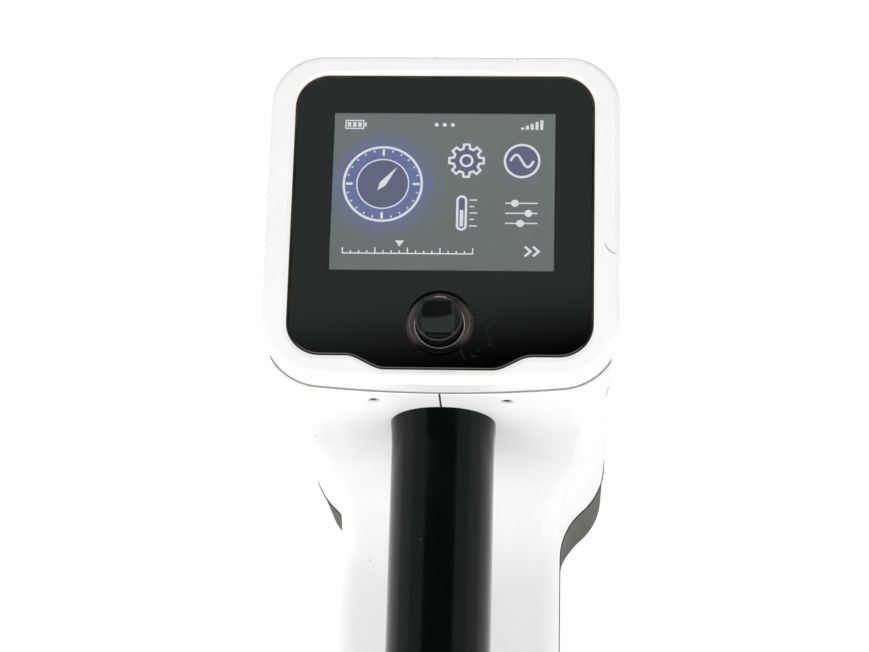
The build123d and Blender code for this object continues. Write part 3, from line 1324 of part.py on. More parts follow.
# Base seal: its lip stands proud of the shells and the tub
base_seal_outline = body_plan(-BASE_LIP)
with BuildPart() as base_seal:
    with BuildSketch(Plane.XY.offset(BASE_TOP)):
        add(base_seal_outline)
        add(base_inside, mode=Mode.SUBTRACT)
        with Locations(*base_boss_places()):
            Circle(BASE_BOSS_R)
        with Locations(*base_boss_places()):
            Circle(SMALL_SCREW_R + THREAD_GAP, mode=Mode.SUBTRACT)
    extrude(amount=BASE_SEAL)
write(base_seal, "base_seal")

with BuildPart() as base_screws:
    with BuildSketch(Plane.XY.offset(BASE_TOP - BASE_HEAD_DROP)):
        with Locations(*base_boss_places()):
            Circle(SMALL_HEAD_R)
    extrude(amount=-SMALL_HEAD)
    with BuildSketch(Plane.XY.offset(BASE_TOP - BASE_HEAD_DROP)):
        with Locations(*base_boss_places()):
            Circle(SMALL_SCREW_R)
    extrude(amount=BASE_HEAD_DROP + BASE_SEAL + BASE_SCREW_GRIP)
write(base_screws, "base_screws")

front_foot_x = BODY_HALF - FRONT_FOOT_INSET[0]
front_foot_y = BODY_FRONT - FRONT_FOOT_INSET[1]
rear_foot_x = NARROW_HALF - REAR_FOOT_INSET[0]
rear_foot_y = BODY_REAR + REAR_FOOT_INSET[1]
with BuildPart() as foot_pads:
    with BuildSketch(Plane.XY):
        for side in (-1, 1):
            with Locations((side * front_foot_x, front_foot_y), (side * rear_foot_x, rear_foot_y)):
                Circle(FOOT_R)
    extrude(amount=FOOT_HEIGHT)
    chamfer(foot_pads.faces().filter_by(Axis.Z).group_by(Axis.Z)[0].edges(), FOOT_HEIGHT / 3)
write(foot_pads, "foot_pads")

# Battery bay in the base, with its contact block, pins and lead
snap_y = battery_rear + BATTERY_CAP / 2
snap_height = BATTERY_HEIGHT / 2
with BuildPart() as battery_bay:
    with BuildSketch(Plane.XZ.offset(-bay_front)):
        with Locations((0, battery_z)):
            RectangleRounded(
                BATTERY_WIDTH + 2 * bay_gap,
                BATTERY_HEIGHT + 2 * bay_gap,
                BATTERY_ROUND + bay_gap,
            )
    extrude(amount=bay_front - bay_rear)
    with BuildSketch(Plane.XZ.offset(-bay_inside)):
        with Locations((0, battery_z)):
            RectangleRounded(
                BATTERY_WIDTH + 2 * BATTERY_GAP,
                BATTERY_HEIGHT + 2 * BATTERY_GAP,
                BATTERY_ROUND + BATTERY_GAP,
            )
    extrude(amount=bay_inside - bay_rear, mode=Mode.SUBTRACT)
    with BuildSketch(Plane.XY.offset(battery_z - snap_height / 2 - FIT)):
        for side in (-1, 1):
            with Locations((side * BATTERY_WIDTH / 2, snap_y)):
                Circle(SNAP_R + FIT)
    extrude(amount=snap_height + 2 * FIT, mode=Mode.SUBTRACT)
write(battery_bay, "battery_bay")

with BuildPart() as contact_block:
    with BuildSketch(Plane.XZ.offset(-bay_inside)):
        with Locations((0, battery_z)):
            Rectangle(CONTACT_BLOCK_WIDTH, CONTACT_BLOCK_HEIGHT)
            with GridLocations(CONTACT_PITCH, 0, CONTACT_COUNT, 1):
                Circle(CONTACT_R + THREAD_GAP, mode=Mode.SUBTRACT)
    extrude(amount=CONTACT_BLOCK_DEPTH)
write(contact_block, "contact_block")

with BuildPart() as contact_pins:
    with BuildSketch(Plane.XZ.offset(-bay_inside)):
        with Locations((0, battery_z)):
            with GridLocations(CONTACT_PITCH, 0, CONTACT_COUNT, 1):
                Circle(CONTACT_R)
    extrude(amount=BAY_CLEAR - FIT)
write(contact_pins, "contact_pins")

lead_x = CONTACT_BLOCK_WIDTH / 2
battery_lead_y = trigger_lead_y
lead_bend = (battery_lead_y - bay_front) / 3
with BuildPart() as battery_lead:
    with BuildLine():
        FilletPolyline(
            (lead_x, bay_front, battery_z),
            (lead_x, battery_lead_y, battery_z),
            (lead_x, battery_lead_y, BOARD_UNDER),
            radius=lead_bend,
        )
    with BuildSketch(Plane(origin=(lead_x, bay_front, battery_z), z_dir=(0, 1, 0))):
        Circle(BATTERY_LEAD_R)
    sweep()
write(battery_lead, "battery_lead")

# Battery pack: case, cells, cap with a finger pull, and contact pads
case_rear = battery_rear + BATTERY_CAP
with BuildPart() as battery_case:
    with BuildSketch(Plane.XZ.offset(-battery_front)):
        with Locations((0, battery_z)):
            RectangleRounded(BATTERY_WIDTH, BATTERY_HEIGHT, BATTERY_ROUND)
    extrude(amount=battery_front - case_rear)
    with BuildSketch(Plane.XZ.offset(-battery_front + BATTERY_WALL)):
        with Locations((0, battery_z)):
            RectangleRounded(
                BATTERY_WIDTH - 2 * BATTERY_WALL,
                BATTERY_HEIGHT - 2 * BATTERY_WALL,
                BATTERY_ROUND - BATTERY_WALL,
            )
    extrude(amount=battery_front - case_rear, mode=Mode.SUBTRACT)
    with BuildSketch(Plane.XZ.offset(-battery_front)):
        with Locations((0, battery_z)):
            with GridLocations(CONTACT_PITCH, 0, CONTACT_COUNT, 1):
                Rectangle(CONTACT_PAD + FIT, CONTACT_PAD + FIT)
    extrude(amount=CONTACT_PAD_THICK, mode=Mode.SUBTRACT)
write(battery_case, "battery_case")

with BuildPart() as battery_contacts:
    with BuildSketch(Plane.XZ.offset(-battery_front)):
        with Locations((0, battery_z)):
            with GridLocations(CONTACT_PITCH, 0, CONTACT_COUNT, 1):
                Rectangle(CONTACT_PAD, CONTACT_PAD)
    extrude(amount=CONTACT_PAD_THICK)
write(battery_contacts, "battery_contacts")

case_inside = battery_front - BATTERY_WALL - case_rear
cell_pitch_y = (case_inside - 2 * FIT - 2 * CELL_R) / (CELLS_ALONG - 1)
cell_pitch_z = BATTERY_HEIGHT - 2 * BATTERY_WALL - 2 * FIT - 2 * CELL_R
cell_length = BATTERY_WIDTH - 2 * (BATTERY_WALL + CELL_GAP)
with BuildPart() as battery_cells:
    with BuildSketch(Plane.YZ):
        with Locations((case_rear + case_inside / 2, battery_z)):
            with GridLocations(cell_pitch_y, cell_pitch_z, CELLS_ALONG, 2):
                Circle(CELL_R)
    extrude(amount=cell_length / 2, both=True)
write(battery_cells, "battery_cells")

with BuildPart() as battery_cap:
    with BuildSketch(Plane.XZ.offset(-case_rear)):
        with Locations((0, battery_z)):
            RectangleRounded(BATTERY_WIDTH, BATTERY_HEIGHT, BATTERY_ROUND)
    extrude(amount=BATTERY_CAP)
    with BuildSketch(Plane.XZ.offset(-battery_rear)):
        with Locations((0, battery_z)):
            RectangleRounded(PULL_WIDTH, PULL_HEIGHT, PULL_HEIGHT / 3)
    extrude(amount=-PULL_DEPTH, mode=Mode.SUBTRACT)
    chamfer(battery_cap.faces().sort_by(Axis.Y)[0].edges(), BATTERY_WALL / 2)
    with BuildSketch(Plane.XY.offset(battery_z - snap_height / 2)):
        for side in (-1, 1):
            with Locations((side * BATTERY_WIDTH / 2, snap_y)):
                Circle(SNAP_R)
    extrude(amount=snap_height)
write(battery_cap, "battery_cap")
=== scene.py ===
import math

import bmesh
import bpy
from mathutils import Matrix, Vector


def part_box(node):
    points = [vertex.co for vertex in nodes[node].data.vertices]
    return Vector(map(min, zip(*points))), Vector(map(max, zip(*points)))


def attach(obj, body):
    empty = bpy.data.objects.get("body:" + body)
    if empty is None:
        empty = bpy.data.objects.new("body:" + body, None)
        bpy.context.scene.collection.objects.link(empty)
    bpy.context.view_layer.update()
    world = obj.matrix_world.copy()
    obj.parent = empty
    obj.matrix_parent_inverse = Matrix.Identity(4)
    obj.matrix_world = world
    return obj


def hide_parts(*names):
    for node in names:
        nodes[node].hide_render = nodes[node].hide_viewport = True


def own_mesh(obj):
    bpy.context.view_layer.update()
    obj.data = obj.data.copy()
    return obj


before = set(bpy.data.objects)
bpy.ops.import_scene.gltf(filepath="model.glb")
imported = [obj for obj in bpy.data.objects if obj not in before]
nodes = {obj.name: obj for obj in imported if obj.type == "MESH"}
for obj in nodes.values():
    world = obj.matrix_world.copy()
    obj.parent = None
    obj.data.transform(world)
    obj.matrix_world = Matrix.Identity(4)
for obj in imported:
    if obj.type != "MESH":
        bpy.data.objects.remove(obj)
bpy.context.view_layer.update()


# White mouldings: the two body shells and the frame round the face. They are injection
# moulded in white ABS with a fine satin grain, and screwed together from inside. Use has
# left a few brown specks, most of them on the frame's rim, and a hair line on its right.
def add_node(tree, kind, **values):
    """Add a shader node. Names with a capital are input sockets, the others properties."""
    node = tree.nodes.new("ShaderNode" + kind)
    for name, value in values.items():
        if not name[0].isupper():
            setattr(node, name, value)
        elif isinstance(value, bpy.types.NodeSocket):
            tree.links.new(value, node.inputs[name.replace("_", " ")])
        else:
            node.inputs[name.replace("_", " ")].default_value = value
    return node


def calc(tree, operation, *terms):
    """A math node on sockets or numbers, as its output socket."""
    node = tree.nodes.new("ShaderNodeMath")
    node.operation = operation
    for socket, term in zip(node.inputs, terms):
        if isinstance(term, bpy.types.NodeSocket):
            tree.links.new(term, socket)
        else:
            socket.default_value = term
    return node.outputs[0]


def ramp(tree, value, low, high):
    """A smooth step from 0 at low to 1 at high, as an output socket."""
    step = add_node(
        tree, "MapRange", interpolation_type="SMOOTHSTEP", From_Min=low, From_Max=high, Value=value
    )
    return step.outputs["Result"]


def blend_colours(tree, share, first, second):
    """Two colours, given as sockets or values, mixed by share."""
    mix = tree.nodes.new("ShaderNodeMix")
    mix.data_type = "RGBA"
    tree.links.new(share, mix.inputs["Factor"])
    for label, colour in (("A", first), ("B", second)):
        socket = next(s for s in mix.inputs if s.name == label and s.type == "RGBA")
        if isinstance(colour, bpy.types.NodeSocket):
            tree.links.new(colour, socket)
        else:
            socket.default_value = (*colour, 1.0)
    return next(s for s in mix.outputs if s.type == "RGBA")


def place_on(tree):
    """The point on the piece that is shaded, as an output socket."""
    return add_node(tree, "TexCoord").outputs["Object"]


def parts_of_place(tree):
    """The X, Y and Z of the point that is shaded, as output sockets."""
    return add_node(tree, "SeparateXYZ", Vector=place_on(tree)).outputs


def distance(tree, across, along):
    """How far a point is from a middle, from its two offsets."""
    squares = [calc(tree, "POWER", offset, 2.0) for offset in (across, along)]
    return calc(tree, "SQRT", calc(tree, "ADD", *squares))


def new_group(name, inputs, outputs):
    """An empty shader node group, with its input and output sockets."""
    group = bpy.data.node_groups.new(name, "ShaderNodeTree")
    for label, value in inputs.items():
        kind = "NodeSocketFloat" if isinstance(value, float) else "NodeSocketColor"
        if not isinstance(value, float) and len(value) == 3:
            kind = "NodeSocketVector"
        group.interface.new_socket(label, in_out="INPUT", socket_type=kind).default_value = value
    for label, kind in outputs.items():
        group.interface.new_socket(label, in_out="OUTPUT", socket_type="NodeSocket" + kind)
    taken = group.nodes.new("NodeGroupInput").outputs
    given = group.nodes.new("NodeGroupOutput").inputs
    return group, taken, given


grain_group, taken, given = new_group(
    "moulded_grain",
    {"Grain": 900.0, "Gloss": 0.4, "Spread": 0.1},
    {"Mottle": "Float", "Roughness": "Float", "Height": "Float"},
)
place = place_on(grain_group)
fine = add_node(grain_group, "TexNoise", Vector=place, Detail=2.0, Scale=taken["Grain"])
broad = add_node(grain_group, "TexNoise", Vector=place, Scale=38.0, Detail=4.0, Roughness=0.6)
patches = ramp(grain_group, broad.outputs["Fac"], 0.3, 0.7)
either_way = calc(grain_group, "SUBTRACT", patches, 0.5)
uneven = calc(grain_group, "MULTIPLY", either_way, taken["Spread"])
grain_group.links.new(patches, given["Mottle"])
grain_group.links.new(calc(grain_group, "ADD", taken["Gloss"], uneven), given["Roughness"])
grain_group.links.new(fine.outputs["Fac"], given["Height"])

SPECK_WOBBLE = 0.0012
SPECK_SIZE = 0.2
speck_group, taken, given = new_group(
    "edge_specks",
    {
        "Color": (0.8, 0.8, 0.8, 1.0),
        "Speck": (0.2, 0.1, 0.05, 1.0),
        "Place": 1.0,
        "Scale": 240.0,
        "Share": 0.1,
    },
    {"Color": "Color"},
)
place = place_on(speck_group)
wobble = add_node(speck_group, "TexNoise", Vector=place, Scale=700.0)
bent = add_node(speck_group, "VectorMath", operation="MULTIPLY_ADD")
speck_group.links.new(wobble.outputs["Color"], bent.inputs[0])
bent.inputs[1].default_value = (SPECK_WOBBLE,) * 3
speck_group.links.new(place, bent.inputs[2])
cells = add_node(speck_group, "TexVoronoi", Vector=bent.outputs["Vector"], Scale=taken["Scale"])
chance = add_node(speck_group, "SeparateColor", Color=cells.outputs["Color"])
dot_size = calc(speck_group, "MULTIPLY", chance.outputs["Green"], SPECK_SIZE)
dot = calc(speck_group, "LESS_THAN", cells.outputs["Distance"], dot_size)
picked = calc(speck_group, "LESS_THAN", chance.outputs["Red"], taken["Share"])
cluster = add_node(speck_group, "TexNoise", Vector=place, Scale=30.0)
near = ramp(speck_group, cluster.outputs["Fac"], 0.48, 0.6)
spot = calc(speck_group, "MULTIPLY", calc(speck_group, "MULTIPLY", dot, picked), near)
shown = calc(speck_group, "MULTIPLY", spot, taken["Place"])
specked = blend_colours(speck_group, shown, taken["Color"], taken["Speck"])
speck_group.links.new(specked, given["Color"])


def opened(material):
    """The node tree and the shader of a finish."""
    tree = material.node_tree
    return tree, tree.nodes["Principled BSDF"]


def moulded(name, colour, shade, gloss, spread, grain, depth, **sockets):
    """A moulded finish: two close colours, uneven gloss and a fine raised grain."""
    material = bpy.data.materials.new(name)
    material.use_nodes = True
    tree, shader = opened(material)
    for label, value in sockets.items():
        shader.inputs[label.replace("_", " ")].default_value = value
    surface = add_node(
        tree, "Group", node_tree=grain_group, Grain=grain, Gloss=gloss, Spread=spread
    )
    paint = blend_colours(tree, surface.outputs["Mottle"], colour, shade)
    bump = add_node(tree, "Bump", Strength=0.5, Distance=depth, Height=surface.outputs["Height"])
    tree.links.new(paint, shader.inputs["Base Color"])
    tree.links.new(surface.outputs["Roughness"], shader.inputs["Roughness"])
    tree.links.new(bump.outputs["Normal"], shader.inputs["Normal"])
    return material


def feed(shader, label):
    """The output that is linked to one of a shader's sockets."""
    return shader.inputs[label].links[0].from_socket


def speckle(material, speck, share, **places):
    """Scatter specks of another colour over a finish."""
    tree, shader = opened(material)
    specks = add_node(
        tree,
        "Group",
        node_tree=speck_group,
        Color=feed(shader, "Base Color"),
        Speck=(*speck, 1.0),
        Share=share,
        **places,
    )
    tree.links.new(specks.outputs["Color"], shader.inputs["Base Color"])


def dress(material, *names):
    """Give CAD nodes this finish."""
    for name in names:
        mesh = nodes[name].data
        mesh.materials.clear()
        mesh.materials.append(material)


WHITE = (0.88, 0.883, 0.878)
WHITE_SHADE = (0.85, 0.85, 0.842)
BROWN_SPECK = (0.16, 0.1, 0.06)
shell_white = moulded(
    "white_shell", WHITE, WHITE_SHADE, gloss=0.4, spread=0.1, grain=1500.0, depth=0.00006
)
speckle(shell_white, BROWN_SPECK, share=0.01, Scale=420.0)
dress(shell_white, "left_shell", "right_shell")

RIM_START = 0.94
RIM_FULL = 0.99
HAIR_MIDDLE = (0.0692, 0.1125)
HAIR_R = 0.0055
HAIR_HALF_WIDTH = 0.00022
HAIR_ENDS = -0.0012
HAIR_STRENGTH = 0.75
HAIR_GREY = (0.12, 0.12, 0.12)
frame_low, frame_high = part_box("face_frame")
frame_half_x = (frame_high.x - frame_low.x) / 2
frame_half_y = (frame_high.y - frame_low.y) / 2
frame_mid_y = (frame_high.y + frame_low.y) / 2
frame_white = moulded(
    "white_frame", WHITE, WHITE_SHADE, gloss=0.38, spread=0.1, grain=1500.0, depth=0.00006
)
tree, shader = opened(frame_white)
spot = parts_of_place(tree)
out_x = calc(tree, "DIVIDE", calc(tree, "ABSOLUTE", spot["X"]), frame_half_x)
from_middle = calc(tree, "SUBTRACT", spot["Y"], frame_mid_y)
out_y = calc(tree, "ABSOLUTE", calc(tree, "DIVIDE", from_middle, frame_half_y))
rim = ramp(tree, calc(tree, "MAXIMUM", out_x, out_y), RIM_START, RIM_FULL)
speckle(frame_white, BROWN_SPECK, share=0.3, Place=rim)
from_x = calc(tree, "SUBTRACT", spot["X"], HAIR_MIDDLE[0])
from_y = calc(tree, "SUBTRACT", spot["Y"], HAIR_MIDDLE[1])
off_line = calc(tree, "ABSOLUTE", calc(tree, "SUBTRACT", distance(tree, from_x, from_y), HAIR_R))
line = calc(tree, "LESS_THAN", off_line, HAIR_HALF_WIDTH)
left_part = calc(tree, "LESS_THAN", from_x, HAIR_ENDS)
lower_part = calc(tree, "LESS_THAN", from_y, HAIR_ENDS)
lower_left = calc(tree, "MULTIPLY", left_part, lower_part)
hair = calc(tree, "MULTIPLY", calc(tree, "MULTIPLY", line, lower_left), HAIR_STRENGTH)
marked = blend_colours(tree, hair, feed(shader, "Base Color"), HAIR_GREY)
tree.links.new(marked, shader.inputs["Base Color"])
dress(frame_white, "face_frame")


# Seals and pads: soft black elastomer cords in the seams between the mouldings, a grey one
# under the head, the ring under the speaker and the four round pads that the base stands on.
seal_black = moulded(
    "seal_black", (0.012, 0.012, 0.011), (0.018, 0.017, 0.016),
    gloss=0.6, spread=0.15, grain=2200.0, depth=0.00008, Specular_IOR_Level=0.15,
)
dress(seal_black, "shell_seam_seal", "base_seal", "speaker_seal", "foot_pads")
seal_grey = moulded(
    "seal_grey", (0.2, 0.2, 0.195), (0.24, 0.24, 0.23),
    gloss=0.6, spread=0.15, grain=2200.0, depth=0.00008,
)
dress(seal_grey, "head_seal")


# Base tub: a dark grey glass-filled moulding with a coarser texture than the shells,
# held to them by eight screws from below. Use has left small paler rub marks on it.
RUBBED_GREY = (0.32, 0.32, 0.3)
base_grey = moulded(
    "base_grey", (0.075, 0.078, 0.069), (0.092, 0.095, 0.083),
    gloss=0.7, spread=0.14, grain=1100.0, depth=0.00014, Specular_IOR_Level=0.25,
)
speckle(base_grey, RUBBED_GREY, share=0.12)
dress(base_grey, "base_tub")


# Screws, pins and the toggle's gimbal and stem: zinc-plated steel, drawn or turned, with a
# slightly streaky plating.
plated_steel = moulded(
    "plated_steel", (0.55, 0.55, 0.56), (0.43, 0.43, 0.42),
    gloss=0.32, spread=0.2, grain=1800.0, depth=0.00003, Metallic=1.0,
)
dress(
    plated_steel,
    "shell_screws",
    "neck_screws",
    "board_screws",
    "base_screws",
    "toggle_gimbal",
    "toggle_stem",
    "trigger_pin",
)


# Inner mouldings: antenna mast, speaker basket, chips, toggle housing, trigger bracket,
# switch and contact block, all in plain black plastic that nobody sees in use.
dark_plastic = moulded(
    "dark_plastic", (0.03, 0.03, 0.03), (0.042, 0.042, 0.044),
    gloss=0.5, spread=0.15, grain=1400.0, depth=0.0001,
)
dress(
    dark_plastic,
    "board_chips",
    "toggle_housing",
    "trigger_bracket",
    "trigger_switch",
    "speaker",
    "antenna_mast",
    "contact_block",
)


# Backlight frame and switch plunger: small mouldings in off-white plastic, the frame
# clipped behind the display to spread its light, the plunger sliding in the switch.
pale_plastic = moulded(
    "pale_plastic", (0.75, 0.75, 0.73), (0.7, 0.7, 0.67),
    gloss=0.5, spread=0.1, grain=1200.0, depth=0.00006,
)
dress(pale_plastic, "backlight_frame", "switch_plunger")


# Boards: green coated laminate for the main board and the infrared emitters, with copper
# tracks under the coat that stand up a little.
TRACK_GREEN = (0.06, 0.26, 0.11)
TRACK_SCALE = 170.0
TRACK_EDGE = 0.72
board_green = moulded(
    "board_green", (0.025, 0.15, 0.065), (0.03, 0.18, 0.08),
    gloss=0.35, spread=0.1, grain=1600.0, depth=0.00004,
)
tree, shader = opened(board_green)
place = place_on(tree)
blocks = add_node(tree, "TexVoronoi", Vector=place, distance="CHEBYCHEV", Scale=90.0)
which = add_node(tree, "SeparateColor", Color=blocks.outputs["Color"]).outputs["Red"]
lengthways = add_node(tree, "TexWave", Vector=place, bands_direction="X", Scale=TRACK_SCALE)
crossways = add_node(tree, "TexWave", Vector=place, bands_direction="Y", Scale=TRACK_SCALE)
runs = add_node(tree, "Mix", data_type="FLOAT")
tree.links.new(calc(tree, "GREATER_THAN", which, 0.5), runs.inputs[0])
tree.links.new(lengthways.outputs["Fac"], runs.inputs[2])
tree.links.new(crossways.outputs["Fac"], runs.inputs[3])
track = calc(tree, "GREATER_THAN", runs.outputs[0], TRACK_EDGE)
coated = blend_colours(tree, track, feed(shader, "Base Color"), TRACK_GREEN)
tree.links.new(coated, shader.inputs["Base Color"])
tree.links.new(track, feed(shader, "Normal").node.inputs["Height"])
dress(board_green, "main_board", "signal_board")


# Display ribbon: amber polyimide film with fine copper lines, bent round from the panel
# to the board.
COPPER_LINE = (0.28, 0.1, 0.03)
amber_film = moulded(
    "amber_film", (0.4, 0.19, 0.04), (0.48, 0.25, 0.06),
    gloss=0.3, spread=0.1, grain=900.0, depth=0.00003,
)
tree, shader = opened(amber_film)
lines = add_node(tree, "TexWave", Vector=place_on(tree), bands_direction="X", Scale=320.0)
copper = calc(tree, "GREATER_THAN", lines.outputs["Fac"], 0.6)
lined = blend_colours(tree, copper, feed(shader, "Base Color"), COPPER_LINE)
tree.links.new(lined, shader.inputs["Base Color"])
dress(amber_film, "display_ribbon")


# Antennas: sintered ferrite rods, matt and slightly pitted, each with a winding of
# enamelled copper wire whose turns lie side by side along the rod.
ferrite = moulded(
    "ferrite", (0.045, 0.045, 0.05), (0.06, 0.06, 0.064),
    gloss=0.5, spread=0.2, grain=700.0, depth=0.0002,
)
dress(ferrite, "antenna_rod_rising", "antenna_rod_falling", "antenna_rod_cross")

winding_group, taken, given = new_group(
    "winding_turns",
    {"Axis": (1.0, 0.0, 0.0), "Turns": 2500.0},
    {"Shade": "Float", "Height": "Float"},
)
along = add_node(winding_group, "VectorMath", operation="DOT_PRODUCT")
winding_group.links.new(place_on(winding_group), along.inputs[0])
winding_group.links.new(taken["Axis"], along.inputs[1])
phase = calc(winding_group, "MULTIPLY", along.outputs["Value"], taken["Turns"])
crest = calc(winding_group, "ABSOLUTE", calc(winding_group, "SINE", phase))
winding_group.links.new(crest, given["Height"])
winding_group.links.new(ramp(winding_group, crest, 0.0, 0.7), given["Shade"])

LEAN = math.sqrt(0.5)
SHADE_BETWEEN_TURNS = (0.12, 0.04, 0.015)
for which, axis in (
    ("rising", (0, LEAN, LEAN)),
    ("falling", (0, LEAN, -LEAN)),
    ("cross", (1, 0, 0)),
):
    copper = moulded(
        f"copper_{which}", (0.5, 0.22, 0.09), (0.6, 0.3, 0.14),
        gloss=0.3, spread=0.1, grain=800.0, depth=0.0002, Metallic=0.8,
    )
    tree, shader = opened(copper)
    turns = add_node(tree, "Group", node_tree=winding_group, Axis=axis)
    paint = feed(shader, "Base Color")
    # Painted shade: the copper is painted darker in the grooves between the turns.
    wound = blend_colours(tree, turns.outputs["Shade"], SHADE_BETWEEN_TURNS, paint)
    tree.links.new(wound, shader.inputs["Base Color"])
    tree.links.new(turns.outputs["Height"], feed(shader, "Normal").node.inputs["Height"])
    dress(copper, f"antenna_coil_{which}")


# Leads: stranded wires in black insulation from the windings, the speaker, the emitters,
# the trigger's switch and the battery contacts up to the main board.
lead_black = moulded(
    "lead_black", (0.018, 0.018, 0.02), (0.03, 0.03, 0.032),
    gloss=0.45, spread=0.12, grain=1200.0, depth=0.00006,
)
dress(lead_black, "trigger_lead", "signal_lead", "speaker_lead", "antenna_leads", "battery_lead")


# Battery: charcoal case and cap with a finger pull, the bay that it slides into, sleeved
# cells inside, and gold-plated pads that meet the sprung pins at the bay's end.
PACK_RUBBED = (0.2, 0.2, 0.2)
pack_grey = moulded(
    "pack_grey", (0.046, 0.048, 0.051), (0.062, 0.064, 0.067),
    gloss=0.5, spread=0.16, grain=1100.0, depth=0.00012,
)
speckle(pack_grey, PACK_RUBBED, share=0.1)
dress(pack_grey, "battery_bay", "battery_case", "battery_cap")
gold = moulded(
    "gold_plate", (0.8, 0.58, 0.22), (0.7, 0.5, 0.2),
    gloss=0.22, spread=0.12, grain=1500.0, depth=0.00002, Metallic=1.0,
)
dress(gold, "contact_pins", "battery_contacts")
cell_blue = moulded(
    "cell_blue", (0.07, 0.15, 0.3), (0.09, 0.19, 0.36),
    gloss=0.25, spread=0.1, grain=500.0, depth=0.00005,
)
dress(cell_blue, "battery_cells")


# Lens: one sheet of clear hard-coated plastic over the whole face, bedded on a bead of
# brown sealant. Its back is printed black round the screen's window, and thumbs have
# left fine scratches beside the toggle.
STREAK_DRAW = (1.0, 30.0, 1.0)
scratch_group, taken, given = new_group(
    "hair_scratches", {"Scale": 60.0, "Share": 0.5, "Place": 1.0}, {"Mask": "Float"}
)
place = place_on(scratch_group)
layers = []
for angle, shift in ((0.35, 0.0), (1.15, 0.3), (2.3, 0.7)):
    laid = add_node(
        scratch_group, "Mapping", Vector=place, Rotation=(0, 0, angle), Location=(shift, shift, 0)
    )
    drawn = add_node(scratch_group, "VectorMath", operation="MULTIPLY")
    scratch_group.links.new(laid.outputs["Vector"], drawn.inputs[0])
    drawn.inputs[1].default_value = STREAK_DRAW
    streaks = add_node(
        scratch_group, "TexNoise", Vector=drawn.outputs["Vector"], Detail=0.0, Scale=taken["Scale"]
    )
    layers.append(ramp(scratch_group, streaks.outputs["Fac"], 0.76, 0.8))
lines = calc(scratch_group, "MAXIMUM", calc(scratch_group, "MAXIMUM", *layers[:2]), layers[2])
worn_and_shaded = add_node(scratch_group, "TexNoise", Vector=place, Scale=25.0)
patch = calc(scratch_group, "GREATER_THAN", taken["Share"], worn_and_shaded.outputs["Fac"])
scratched = calc(scratch_group, "MULTIPLY", lines, patch)
scratch_group.links.new(calc(scratch_group, "MULTIPLY", scratched, taken["Place"]), given["Mask"])


def scratch(material, dulling, **values):
    """Dull a polished finish along fine scratches."""
    tree, shader = opened(material)
    marks = add_node(tree, "Group", node_tree=scratch_group, **values).outputs["Mask"]
    dulled = calc(tree, "MULTIPLY_ADD", marks, dulling, feed(shader, "Roughness"))
    tree.links.new(dulled, shader.inputs["Roughness"])


def softened(name, body, width=0.0, picked=None):
    """A copy of a CAD node with its picked sharp edges rounded, shown in the node's place."""
    sharp_angle = math.radians(35)
    flat_angle = math.radians(0.5)
    solid = bmesh.new()
    solid.from_mesh(nodes[name].data)
    bmesh.ops.remove_doubles(solid, verts=solid.verts, dist=0.000001)
    bmesh.ops.dissolve_limit(solid, angle_limit=flat_angle, verts=solid.verts, edges=solid.edges)
    joined = [edge for edge in solid.edges if len(edge.link_faces) == 2]
    sharp = [edge for edge in joined if edge.calc_face_angle() > sharp_angle]
    for edge in sharp:
        edge.smooth = False
    rounded = [e for e in sharp if picked and picked((e.verts[0].co + e.verts[1].co) / 2)]
    for edge in rounded:
        edge.smooth = True
    if rounded:
        bmesh.ops.bevel(
            solid,
            geom=rounded,
            offset=width,
            segments=4,
            profile=0.5,
            affect="EDGES",
            clamp_overlap=True,
        )
    mesh = bpy.data.meshes.new(f"{name}_worn")
    solid.to_mesh(mesh)
    solid.free()
    for face in mesh.polygons:
        face.use_smooth = len(face.vertices) <= 4
    piece = bpy.data.objects.new(f"{name}_worn", mesh)
    piece.matrix_world = nodes[name].matrix_world
    bpy.context.scene.collection.objects.link(piece)
    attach(piece, body)
    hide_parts(name)
    return piece


THUMB_R = 0.03
THUMB_CORE_R = 0.018
lens_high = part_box("lens")[1]
lens_top = lens_high.z
cap_low, cap_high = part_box("toggle_cap")
toggle_y = (cap_low.y + cap_high.y) / 2
lens_clear = moulded(
    "lens_clear", (0.93, 0.95, 0.95), (0.95, 0.96, 0.96),
    gloss=0.035, spread=0.02, grain=400.0, depth=0.0, Transmission_Weight=1.0, IOR=1.49,
)
tree = lens_clear.node_tree
spot = parts_of_place(tree)
from_toggle = distance(tree, spot["X"], calc(tree, "SUBTRACT", spot["Y"], toggle_y))
thumbed = ramp(tree, from_toggle, THUMB_R, THUMB_CORE_R)
scratch(lens_clear, dulling=0.3, Scale=75.0, Share=0.45, Place=thumbed)

BEVEL = 0.0006
BEVEL_SLOPES = (0.2, 0.95)
BEVEL_OUTER = (0.05, 0.4)
BEVEL_INNER = (0.6, 0.35)
CHIN_Y = 0.068
CHIN_FADE = 0.003
FRONT_FADE = 0.03
REAR_OLIVE_SHARE = 0.25
OLIVE = (0.19, 0.135, 0.06)
GROUND_EDGE_AND_HIGHLIGHT = (0.13, 0.135, 0.13)
lens_bevel = moulded(
    "lens_bevel", (0.004, 0.004, 0.003), (0.01, 0.008, 0.005),
    gloss=0.5, spread=0.1, grain=900.0, depth=0.00002, Specular_IOR_Level=0.1,
)
tree, shader = opened(lens_bevel)
paint = feed(shader, "Base Color")
spot = parts_of_place(tree)
smear = add_node(tree, "TexNoise", Vector=place_on(tree), Scale=90.0, Detail=3.0).outputs["Fac"]
outer = ramp(tree, spot["Z"], *[lens_top - BEVEL * share for share in BEVEL_OUTER])
forward = ramp(tree, spot["Y"], lens_high.y - FRONT_FADE, lens_high.y)
front = calc(tree, "MULTIPLY_ADD", forward, 1 - REAR_OLIVE_SHARE, REAR_OLIVE_SHARE)
smeared = calc(tree, "MULTIPLY", calc(tree, "MULTIPLY", outer, front), ramp(tree, smear, 0.35, 0.6))
sealed = blend_colours(tree, smeared, paint, OLIVE)
